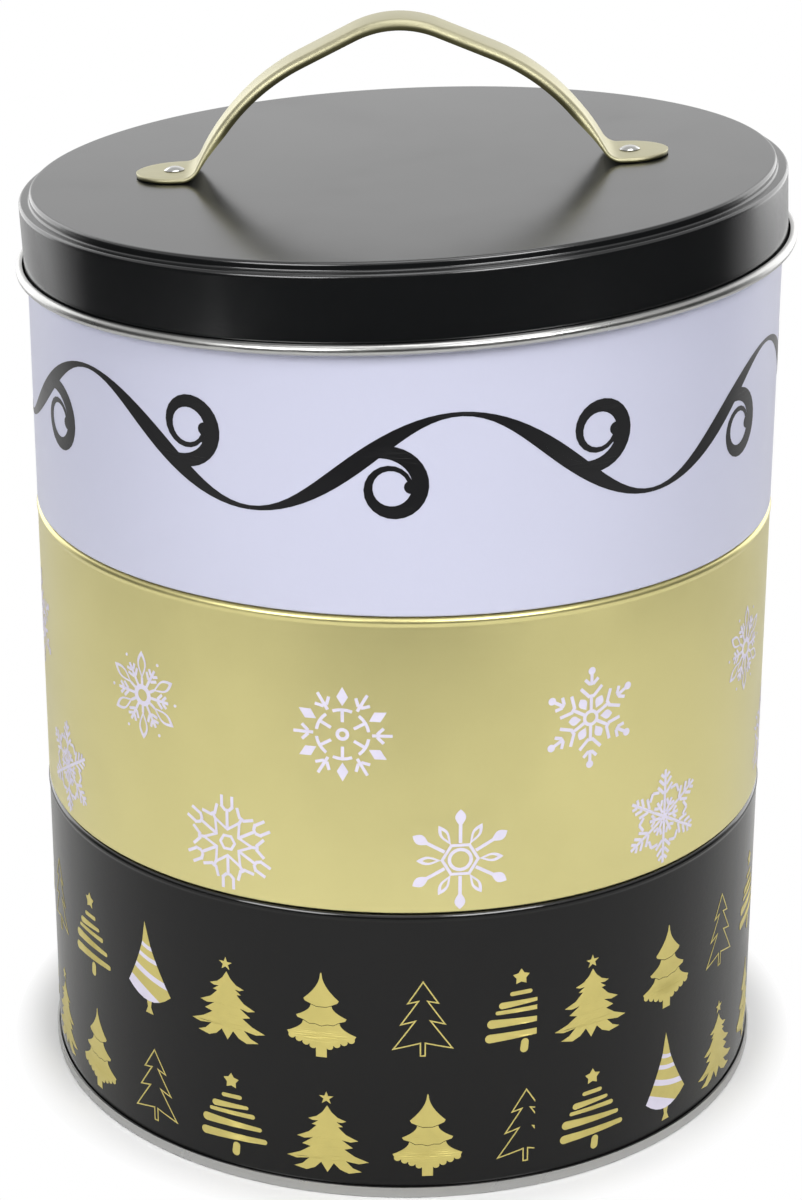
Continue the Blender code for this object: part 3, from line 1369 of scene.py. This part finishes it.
@dataclass(frozen=True)
class Flake:
    """A crystal's reach in millimetres, and the strokes on each arm and between two arms."""

    reach: float
    arm: tuple[tuple, ...]
    spray: tuple[tuple, ...]

    def shapes(self) -> list[Shape]:
        """Return the patches of one sixth in metres."""
        spray = [shape.turned(SIXTH / 2) for shape in self.drawn(self.spray)]
        return [shape.scaled(self.reach * MM) for shape in self.drawn(self.arm) + spray]

    @staticmethod
    def drawn(strokes: tuple[tuple, ...]) -> list[Shape]:
        """Draw strokes, each a function and its sizes, and return their patches."""
        return [shape for draw, *sizes in strokes for shape in draw(*sizes)]


class FlakeArt(Enum):
    """Six designs of snow crystals."""

    PADDLE = Flake(14.0, ((rim, 0.20), (ring_side, 0.33), (stem, 0.33, 0.70), (leaf, 0.64, 1.0, 0.10)),
                   ((leaf, 0.34, 0.80, 0.085, 0.045),))
    DIAMOND = Flake(12.8, ((rim, 0.10, 0.035), (stem, 0.26, 0.50), (rim, 0.52, FLAKE_LINE, 0.36),
                           (lozenge, 0.60, 0.79, 1.0, 0.115)),
                    ((stem, 0.58, 0.98), (twigs, 0.68, 0.18)))
    FORKED = Flake(13.1, ((ring_side, 0.16), (stem, 0.28, 0.72), (twigs, 0.68, 0.15),
                          (pair, 0.115, 0.77, 0.115, 1.0)),
                   ((ring_side, 0.28, 0.54), (stem, 0.54, 0.68), (twigs, 0.62, 0.24)))
    FERN = Flake(13.9, ((rim, 0.13), (stem, 0.14, 0.46), (knob, 0.92, 0.075), (stem, 0.64, 0.90),
                        (twigs, 0.41, 0.27), (twigs, 0.66, 0.15)),
                 ((leaf, 0.20, 0.46, 0.09),))
    FEATHER = Flake(13.4, ((stem, 0.0, 1.0), (twigs, 0.50, 0.24), (twigs, 0.68, 0.19), (twigs, 0.84, 0.12)),
                    ((stem, 0.10, 0.40), (twigs, 0.26, 0.13), (pair, 0.0, 0.67, 0.14, 0.56)))
    KITE = Flake(12.2, ((rim, 0.19, 0.055), (stem, 0.22, 0.40), (leaf, 0.36, 1.0, 0.13, 0.045)),
                 ((stem, 0.24, 0.74), (knob, 0.92, 0.035), (twigs, 0.44, 0.18), (twigs, 0.58, 0.14)))


# Little conifers, drawn in millimetres on a base line at 0 with the tip near 24


def both_sides(right: Sequence[Point]) -> Loop:
    """Close an outline from its right side, tip first, with its mirror image."""
    points = [Vector(point) for point in right]
    return points + flipped([point for point in points if point.x > 0])


def fir() -> list[Shape]:
    """Draw a fir with drooping boughs and a star.

    Returns:
        Its patches.
    """
    right = [(0.0, 20.2), (1.2, 18.2), (2.8, 16.7), (5.1, 15.8), (3.9, 15.3), (2.4, 15.4), (4.2, 14.1),
             (2.9, 13.9), (5.0, 11.7), (8.2, 10.1), (6.2, 9.6), (3.8, 10.1), (6.8, 7.9), (4.5, 7.3),
             (7.4, 5.3), (11.0, 3.8), (8.4, 3.2), (4.9, 3.8), (6.8, 1.8), (9.1, 0.8), (5.7, 0.1), (3.4, 1.1),
             (1.7, 2.9), (0.0, 0.0)]
    return [Shape(both_sides(right)), star((-0.2, 22.4), 2.0, 0.40)]


def tiered() -> list[Shape]:
    """Draw a tree of three bell-shaped tiers, parted by thin lines, with a scalloped hem.

    Returns:
        Its patches.
    """
    scallops, radius, scallop_start, scallop_sweep, scallop_steps = 4, 0.97, 0.35, 0.2 - math.pi, 5
    hem_x, hem_y, inward, down = 7.9, 5.6, 1.9, 0.77
    parting, tuck_in, tuck_down, flare, steps = 0.18, 0.4, 0.7, 1.9, 6
    hem = []
    for scallop in range(scallops):
        middle = Vector((hem_x - inward * scallop, hem_y - down * scallop))
        hem += [tuple(point) for point in arc(middle, radius, scallop_start, scallop_sweep, scallop_steps)]
    lines = [[(0.0, 24.9)], [(2.6, 15.3), (1.3, 14.8), (0.0, 14.8)],
             [(4.7, 10.5), (3.2, 9.6), (1.6, 9.7), (0.0, 9.2)], hem + [(0.9, 2.4)]]
    sides = [((0.2, 24.4), (4.7, 16.8)), ((2.8, 15.1), (6.7, 11.7)), ((4.9, 10.2), (9.2, 6.7))]
    tiers = []
    for over, ((top_x, top_y), (low_x, low_y)), under in zip(lines, sides, lines[1:]):
        right = [(x, y - parting) for x, y in reversed(over)]
        for share in (step / steps for step in range(steps + 1)):
            right.append((top_x + (low_x - top_x) * share ** flare, top_y + (low_y - top_y) * share))
        tiers.append(Shape(both_sides(right + [(low_x - tuck_in, low_y - tuck_down)] + under)))
    return tiers + [bar((0.0, 0.0), (0.0, 2.9), 1.44)]


def lined() -> list[Shape]:
    """Draw a tree as one thin outline.

    Returns:
        Its patches.
    """
    line = 0.36
    right = [(0.0, 23.5), (4.3, 16.7), (1.6, 17.3), (6.1, 10.5), (2.4, 11.5), (8.1, 3.3), (0.8, 5.1),
             (0.8, 1.4)]
    outer = both_sides(right)
    inner = offset_path(outer, line, closed=True)
    runs = zip(outer, outer[1:] + outer[:1], inner[1:] + inner[:1], inner)
    return [Shape(list(corners)) for corners in runs]


def brushed() -> list[Shape]:
    """Draw a tree of uneven brush strokes with a plump star.

    Returns:
        Its patches.
    """
    strokes = [((-3.0, 17.6), (1.9, 17.8), 0.60, 1.0), ((-5.6, 14.5), (3.9, 15.1), 0.95, 0.55),
               ((-6.9, 12.5), (5.6, 12.8), 0.55, 1.25), ((-8.4, 9.4), (7.6, 9.3), 1.25, 0.5),
               ((-8.9, 5.2), (9.0, 5.9), 1.25, 0.6), ((0.5, 1.0), (0.7, 3.0), 1.10, 0.95)]
    return [star((-0.6, 22.3), 2.4, 0.58)] + [brush_stroke(*stroke) for stroke in strokes]


def gold_bands() -> list[Shape]:
    """Draw the gold bands and the foot of a striped cone."""
    return StripedCone().bands()[::2] + [Shape(both_sides([(0.95, 3.4), (0.6, 1.2), (1.45, -0.7)]))]


def pale_bands() -> list[Shape]:
    """Draw the pale bands of a striped cone."""
    return StripedCone().bands()[1::2]


@dataclass
class StripedCone:
    """A leaning cone with flared sides, parted into bands by sagging lines."""

    tip: float = 26.5
    hem: float = 6.7
    flare: float = 8.05
    bell: float = 1.5
    lean: float = 0.05
    sag: float = 0.03
    hem_sag: float = 3.7
    last_level: float = 9.2
    last_meet: float = 0.75
    steps: int = 8
    levels: tuple[Point, ...] = ((20.4, 19.5), (19.2, 18.3), (17.3, 16.0), (16.1, 14.7), (13.5, 10.4),
                                 (11.9, 8.5))

    def line(self, left: float, right: float, sag: float) -> Loop:
        """Draw a sagging line across the cone.

        Args:
            left: Its height on the left side.
            right: Its height on the right side.
            sag: How far its middle hangs down.

        Returns:
            Its points.
        """
        ends = []
        for side, height in zip(SIDES, (left, right)):
            reach = self.flare * ((self.tip - height) / (self.tip - self.hem)) ** self.bell
            ends.append(Vector((side * reach - self.lean * (height - self.hem), height)))
        shares = [step / self.steps for step in range(self.steps + 1)]
        drops = [Vector((0.0, 4 * sag * share * (1 - share))) for share in shares]
        return [ends[0].lerp(ends[1], share) - drop for share, drop in zip(shares, drops)]

    def bands(self) -> list[Shape]:
        """Draw the bands.

        Returns:
            The bands from the tip down.
        """
        lines = [self.line(self.tip, self.tip, 0.0)[:1]]
        lines += [self.line(left, right, self.sag * (self.tip - right)) for left, right in self.levels]
        bands = [Shape(above + under[::-1]) for above, under in pairwise(lines)]
        base = self.line(self.hem, self.hem, self.hem_sag)
        meet = round(self.steps * self.last_meet)
        start = self.line(self.last_level, self.last_level, 0.0)[0]
        last = [start.lerp(base[meet], step / self.steps) for step in range(self.steps)]
        return bands + [Shape(lines[-1] + base[:meet - 1:-1] + last[::-1]), Shape(last + base[meet::-1])]


@dataclass(frozen=True)
class Conifer:
    """What draws a tree's gold patches and its pale ones."""

    gold: Callable[[], list[Shape]]
    pale: Callable[[], list[Shape]] = list


class TreeArt(Enum):
    """Five designs of little trees."""

    FIR = Conifer(fir)
    TIERED = Conifer(tiered)
    OUTLINE = Conifer(lined)
    BRUSHED = Conifer(brushed)
    STRIPED = Conifer(gold_bands, pale_bands)


@dataclass
class ScrollArt:
    """One length of a running pen scroll, in millimetres: a wave with a volute in each hollow."""

    length: float
    rise: float = 13.0
    thin: float = 0.55
    thick: float = 2.3
    branch: float = 0.20
    branch_angle: float = math.radians(52)
    volute_turn: float = math.radians(500)
    volute_length: float = 0.62
    volute_hurry: float = 1.55
    volute_thick: float = 0.85
    volute_belly: float = 0.8
    drop: float = 1.7
    steps: int = 40

    def shapes(self) -> list[Shape]:
        """Return the patches of one length."""
        stem_line = [self.wave(step / self.steps) for step in range(self.steps + 1)]
        return [self.ribbon(stem_line, self.stem_half)] + self.volute(0.0, 1) + self.volute(0.5, -1)

    def wave(self, share: float) -> Vector:
        """Return the wave's middle at a share of its length."""
        return Vector((self.length * share, -self.rise * math.cos(math.tau * share)))

    def stem_half(self, share: float) -> float:
        """Return half of the stem's width at a share of its length, thick on the slopes."""
        return self.thin + (self.thick - self.thin) * math.sin(math.tau * share) ** 2

    def volute(self, start: float, side: int) -> list[Shape]:
        """Return a volute that leaves the wave and curls up in its hollow.

        Args:
            start: Share of the length where the half wave starts.
            side: 1 to curl under a crest and -1 to curl over a trough.

        Returns:
            The curling stroke and the drop at its end.
        """
        line = [self.wave(start + self.branch)]
        run = self.volute_length * self.length / self.steps
        for step in range(self.steps):
            share = (step + 0.5) / self.steps
            angle = side * (self.branch_angle - self.volute_turn * share ** self.volute_hurry)
            line.append(line[-1] + heading(angle, run))
        return [self.ribbon(line, self.volute_half), dot(line[-1], self.drop)]

    def volute_half(self, share: float) -> float:
        """Return half of a volute's width at a share of its length."""
        swell = self.volute_thick * math.sin(math.pi * share ** self.volute_belly) ** 2
        return self.thin + (self.thick - self.thin) * swell

    @staticmethod
    def ribbon(line: Loop, half: Callable[[float], float]) -> Shape:
        """Give a line the width of a pen stroke.

        Args:
            line: Middle line.
            half: Function from a share of the length to half of the width.

        Returns:
            The stroke.
        """
        left, right = [], []
        for index, point in enumerate(line):
            along = line[min(index + 1, len(line) - 1)] - line[max(index - 1, 0)]
            side = Vector((-along.y, along.x)).normalized() * half(index / (len(line) - 1))
            left.append(point + side)
            right.append(point - side)
        return Shape(left + right[::-1])


# Prints


class PrintRing:
    """Repeats a flat motif and wraps it round a tin as a thin film of ink."""

    film = 0.00004
    base = 0.00002
    weld = 1e-7

    def __init__(self) -> None:
        """Build the Geometry Nodes tree."""
        self.tree = bpy.data.node_groups.new("print_ring", "GeometryNodeTree")
        sockets = {"Geometry": "Geometry", "Spots": "Object", "Arms": "Int", "Radius": "Float",
                   "Film": "Float", "Detail": "Int", "Finish": "Material"}
        self.sheet, self.inputs = declare(self.tree, sockets, {"Geometry": "Geometry"})
        end_geometry(self.sheet, self.inputs, self.wrap(self.thicken(self.scatter(self.fan()))))

    def copies(self, points: Socket, motif: Socket, **turns: Socket) -> Socket:
        """Set a motif on points and return the copies as plain geometry."""
        inputs = {"Points": points, "Instance": motif, **turns}
        return self.sheet.real(self.sheet.out("GeometryNodeInstanceOnPoints", inputs))

    def fan(self) -> Socket:
        """Repeat the motif's arm about its middle.

        Returns:
            The whole motif.
        """
        sheet, arms = self.sheet, self.inputs["Arms"]
        part = sheet.math("DIVIDE", math.tau, arms)
        angle = sheet.math("MULTIPLY", sheet.out("GeometryNodeInputIndex"), part)
        turn = sheet.out("FunctionNodeEulerToRotation", {0: sheet.vector(Z=angle)})
        points = sheet.out("GeometryNodePoints", {"Count": arms})
        return self.copies(points, self.inputs["Geometry"], Rotation=turn)

    def scatter(self, motif: Socket) -> Socket:
        """Set the motif on every spot of the unrolled wall.

        Args:
            motif: The whole motif.

        Returns:
            The flat print.
        """
        spots = self.sheet.add("GeometryNodeObjectInfo", {"Object": self.inputs["Spots"]})
        flat = {"Mesh": self.copies(spots.outputs["Geometry"], motif), "Level": self.inputs["Detail"]}
        return self.sheet.out("GeometryNodeSubdivideMesh", flat)

    def thicken(self, flat: Socket) -> Socket:
        """Raise the flat print into a closed film.

        Args:
            flat: The flat print.

        Returns:
            The film.
        """
        up = self.sheet.vector(Z=self.inputs["Film"])
        raised = {"Mesh": flat, "Offset": up, "Offset Scale": 1.0, "Individual": False}
        over = self.sheet.out("GeometryNodeExtrudeMesh", raised)
        both = self.sheet.add("GeometryNodeJoinGeometry", {0: over})
        self.sheet.wire(both, {0: self.sheet.out("GeometryNodeFlipFaces", {0: flat})})
        return self.sheet.out("GeometryNodeMergeByDistance", {0: both.outputs[0], "Distance": self.weld})

    def wrap(self, film: Socket) -> Socket:
        """Bend the flat film round the wall.

        Args:
            film: The flat film.

        Returns:
            The bent film.
        """
        sheet, radius = self.sheet, self.inputs["Radius"]
        place = sheet.axes(sheet.out("GeometryNodeInputPosition"))
        angle = sheet.math("DIVIDE", place["X"], radius)
        reach = sheet.math("ADD", place["Z"], radius)
        across = sheet.math("MULTIPLY", reach, sheet.math("SINE", angle))
        depth = sheet.math("MULTIPLY", sheet.math("MULTIPLY", reach, sheet.math("COSINE", angle)), -1.0)
        bent = sheet.vector(X=across, Y=depth, Z=place["Y"])
        return sheet.out("GeometryNodeSetPosition", {"Geometry": film, "Position": bent})

    def press(self, shapes: Sequence[Shape], spots: Sequence[Spot], ink: Finish, detail: int,
              arms: int = 1) -> Mesh:
        """Print a motif on a tin.

        Args:
            shapes: Patches of the motif, or of one of its arms, in metres.
            spots: Azimuth and height of each place where it goes.
            ink: Its finish.
            detail: Levels of subdivision, so that the film follows the wall.
            arms: How often the patches repeat about the motif's middle.

        Returns:
            The printed film.
        """
        radius = STOCK.wall_radius + self.base
        places = bpy.data.meshes.new("spots")
        places.from_pydata([(radius * azimuth, height, 0.0) for azimuth, height in spots], [], [])
        marker = placed("spots", places)
        values = {"Spots": marker, "Arms": arms, "Radius": radius, "Film": self.film, "Detail": detail}
        film = grown(flat_mesh(shapes), self.tree, values, ink)
        bpy.data.objects.remove(marker)
        return film


@dataclass
class Prints:
    """The three tins' prints: a pen scroll, snow crystals and little trees."""

    ring: PrintRing = field(default_factory=PrintRing)
    scroll_lengths: int = 6
    scroll_height: float = 0.2035
    scroll_start: float = math.radians(-22)
    scroll_detail: int = 2
    flake_heights: tuple[float, float] = (0.1329, 0.0985)
    flake_repeat: float = math.radians(107.0)
    flake_arms: int = 6
    flake_detail: int = 1
    tree_count: int = 24
    tree_rows: tuple[Spot, ...] = ((math.radians(3.0), 0.0408), (math.radians(3.8), 0.0063))
    tree_detail: int = 2
    seam: float = math.radians(20.4)
    seam_lap: float = math.radians(3.6)
    seam_step: int = 1

    UPPER_TREES = (TreeArt.OUTLINE, TreeArt.BRUSHED, TreeArt.FIR, TreeArt.TIERED, TreeArt.OUTLINE,
                   TreeArt.BRUSHED, TreeArt.STRIPED, TreeArt.FIR, TreeArt.TIERED)
    LOWER_TREES = (TreeArt.TIERED, TreeArt.OUTLINE, TreeArt.BRUSHED, TreeArt.STRIPED, TreeArt.FIR,
                   TreeArt.TIERED, TreeArt.OUTLINE, TreeArt.BRUSHED, TreeArt.FIR)
    UPPER_FLAKES = ((FlakeArt.FERN, -78.9, 4), (FlakeArt.KITE, -41.8, 3), (FlakeArt.DIAMOND, -8.7, 3))
    LOWER_FLAKES = ((FlakeArt.FEATHER, -64.3, 4), (FlakeArt.FORKED, -26.6, 3), (FlakeArt.PADDLE, 8.3, 3))

    def build(self) -> None:
        """Print all three tins."""
        self.print_scroll()
        self.print_flakes()
        self.print_trees()

    def print_scroll(self) -> None:
        """Print the running scroll on the white tin."""
        pitch = math.tau / self.scroll_lengths
        length = STOCK.wall_radius * pitch / MM
        shapes = [shape.scaled(MM) for shape in ScrollArt(length).shapes()]
        steps = range(self.scroll_lengths)
        spots = [(self.scroll_start + step * pitch, self.scroll_height) for step in steps]
        mesh = joined([self.ring.press(shapes, spots, BLACK_INK, self.scroll_detail)])
        add_piece("top_tin_scroll_print", mesh, "top_tin")

    def print_flakes(self) -> None:
        """Print the snow crystals on the gold tin."""
        films = []
        for row, height in zip((self.UPPER_FLAKES, self.LOWER_FLAKES), self.flake_heights):
            for design, first, count in row:
                spots = [(math.radians(first) + step * self.flake_repeat, height) for step in range(count)]
                shapes = design.value.shapes()
                films.append(self.ring.press(shapes, spots, LILAC_INK, self.flake_detail, self.flake_arms))
        add_piece("middle_tin_snow_print", joined(films), "middle_tin")

    def print_trees(self) -> None:
        """Print the trees on the black tin. The sheet's end laps the print and cuts one tree of each row."""
        gold, pale = [], []
        half = self.tree_count // 2
        pitch = (math.tau + self.seam_lap) / self.tree_count
        for sequence, (start, height) in zip((self.UPPER_TREES, self.LOWER_TREES), self.tree_rows):
            for step in range(-half, half):
                design = sequence[step % len(sequence)].value
                azimuth = start + step * pitch - (self.seam_lap if step > self.seam_step else 0.0)
                limit = (self.seam - azimuth) * STOCK.wall_radius if step == self.seam_step else math.inf
                for films, art, ink in ((gold, design.gold(), GOLD_INK), (pale, design.pale(), LILAC_INK)):
                    cut = [shape.scaled(MM).cut(limit) for shape in art]
                    shapes = [shape for shape in cut if shape.outer]
                    if shapes:
                        films.append(self.ring.press(shapes, [(azimuth, height)], ink, self.tree_detail))
        add_piece("bottom_tin_tree_print", joined(gold), "bottom_tin")
        add_piece("bottom_tin_stripe_print", joined(pale), "bottom_tin")


# Studio


@dataclass(frozen=True)
class Softbox:
    """A soft light aimed at the stack."""

    name: str
    place: tuple[float, float, float]
    size: tuple[float, float]
    power: float

    def build(self) -> None:
        """Add the light."""
        data = bpy.data.lights.new(self.name, "AREA")
        data.shape = "RECTANGLE"
        data.size, data.size_y = self.size
        data.energy = self.power
        light = placed(self.name, data)
        light.location = self.place
        light.visible_camera = False
        middle = (Vector(CAD_BOX[0]) + Vector(CAD_BOX[1])) / 2
        light.rotation_euler = (middle - light.location).to_track_quat("-Z", "Y").to_euler()


@dataclass
class Studio:
    """Pale floor, soft light and the camera."""

    camera_place: tuple[float, float, float] = (0.0, -0.7884, 0.4411)
    camera_pitch: float = math.radians(21.55)
    camera_yaw: float = math.radians(0.054)
    camera_roll: float = math.radians(0.12)
    lens: float = 91.23
    floor_front: float = -0.48
    floor_back: float = 1.1
    floor_side: float = 0.62
    floor_colour: Colour = (0.82, 0.82, 0.82)
    floor_roughness: float = 0.9
    floor_specular: float = 0.1
    floor_fade: tuple[float, float] = (0.1010, 0.113)
    ambient: float = 0.26
    dark_front: float = 0.05
    dim_ceiling: float = 0.55
    low_band: tuple[float, float] = (0.35, 0.60)
    ceiling_band: tuple[float, float] = (0.50, 0.75)
    front_band: tuple[float, float] = (0.30, 0.62)

    WHITE = (1.0, 1.0, 1.0, 1.0)
    SOFTBOXES = (
        Softbox("right_softbox", (0.52, -0.88, 0.90), (0.55, 0.55), 8.6),
        Softbox("left_softbox", (-0.62, -0.82, 0.75), (0.55, 0.55), 6.4),
        Softbox("top_softbox", (0.05, -0.10, 1.45), (0.9, 0.9), 6.0),
        Softbox("back_left_panel", (-0.85, 0.95, 0.45), (0.9, 1.0), 3.6),
        Softbox("back_right_panel", (0.85, 0.95, 0.45), (0.9, 1.0), 3.6),
    )

    def build(self) -> None:
        """Set up everything that isn't part of the object."""
        self.add_camera()
        self.add_floor()
        self.add_world()
        for softbox in self.SOFTBOXES:
            softbox.build()
        bpy.context.scene.view_settings.view_transform = "Standard"

    def add_camera(self) -> None:
        """Add the camera at the photograph's angle."""
        data = bpy.data.cameras.new("camera")
        data.lens = self.lens
        camera = placed("camera", data)
        pitch = Matrix.Rotation(QUARTER - self.camera_pitch, 4, "X")
        tilt = pitch @ Matrix.Rotation(self.camera_roll, 4, "Z")
        turn = Matrix.Rotation(self.camera_yaw, 4, "Z")
        camera.matrix_world = Matrix.Translation(self.camera_place) @ turn @ tilt
        bpy.context.scene.camera = camera

    def add_floor(self) -> None:
        """Add a pale floor that the camera sees fade to white away from the stack."""
        side, front, back = self.floor_side, self.floor_front, self.floor_back
        corners = [(-side, front, 0.0), (side, front, 0.0), (side, back, 0.0), (-side, back, 0.0)]
        mesh = bpy.data.meshes.new("floor")
        mesh.from_pydata(corners, [], [(0, 1, 2, 3)])
        material = bpy.data.materials.new("pale_floor")
        material.use_nodes = True
        nodes = material.node_tree.nodes
        sheet = NodeSheet(material.node_tree)
        shader = nodes["Principled BSDF"]
        sheet.wire(shader, {"Base Color": (*self.floor_colour, 1.0), "Roughness": self.floor_roughness,
                            "Specular IOR Level": self.floor_specular})
        away = sheet.add("ShaderNodeVectorMath", {0: sheet.place()}, operation="LENGTH").outputs["Value"]
        fade = sheet.spread(away, 0.0, 1.0, *self.floor_fade)
        seen = sheet.math("MULTIPLY", fade, sheet.add("ShaderNodeLightPath").outputs["Is Camera Ray"])
        white = sheet.out("ShaderNodeEmission", {"Color": self.WHITE, "Strength": 1.0})
        mixed = sheet.out("ShaderNodeMixShader", {0: seen, 1: shader.outputs[0], 2: white})
        sheet.wire(nodes["Material Output"], {"Surface": mixed})
        mesh.materials.append(material)
        floor = placed("floor", mesh)

    def add_world(self) -> None:
        """Add a white surround, with a dark room in front of the floor for what shines."""
        world = bpy.data.worlds.new("surround")
        bpy.context.scene.world = world
        world.use_nodes = True
        sheet = NodeSheet(world.node_tree)
        light = sheet.add("ShaderNodeLightPath").outputs
        seen = sheet.math("MAXIMUM", light["Is Glossy Ray"], light["Is Transmission Ray"])
        axes = sheet.axes(sheet.add("ShaderNodeTexCoord").outputs["Generated"])
        low = sheet.spread(axes["Z"], 1.0, 0.0, *self.low_band)
        ceiling = sheet.spread(axes["Z"], 1.0, self.dim_ceiling, *self.ceiling_band)
        front = sheet.spread(axes["Y"], 1.0, 0.0, *self.front_band)
        shade = sheet.spread(sheet.math("MULTIPLY", low, front), 1.0, self.dark_front)
        mirrored = sheet.math("MULTIPLY", seen, sheet.math("MULTIPLY", shade, ceiling))
        plain = sheet.math("MULTIPLY", sheet.math("SUBTRACT", 1.0, seen), self.ambient)
        strength = sheet.math("MAXIMUM", sheet.math("ADD", mirrored, plain), light["Is Camera Ray"])
        sheet.wire(world.node_tree.nodes["Background"], {"Color": self.WHITE, "Strength": strength})


def main() -> None:
    """Build the tins from the floor up, then the lid, its handle and the studio."""
    logging.basicConfig(level=logging.INFO, format="%(message)s")
    Tin("bottom_tin", BLACK_ENAMEL, "black_print").build()
    Tin("middle_tin", GOLD_LACQUER, "gold_print", below="bottom_tin").build()
    Tin("top_tin", WHITE_ENAMEL, "white_print", below="middle_tin").build()
    lid = Lid()
    lid.build()
    handle = StrapHandle(lid)
    handle.build()
    RivetPair(handle).build()
    Prints().build()
    Studio().build()


if __name__ == "__main__":
    main()
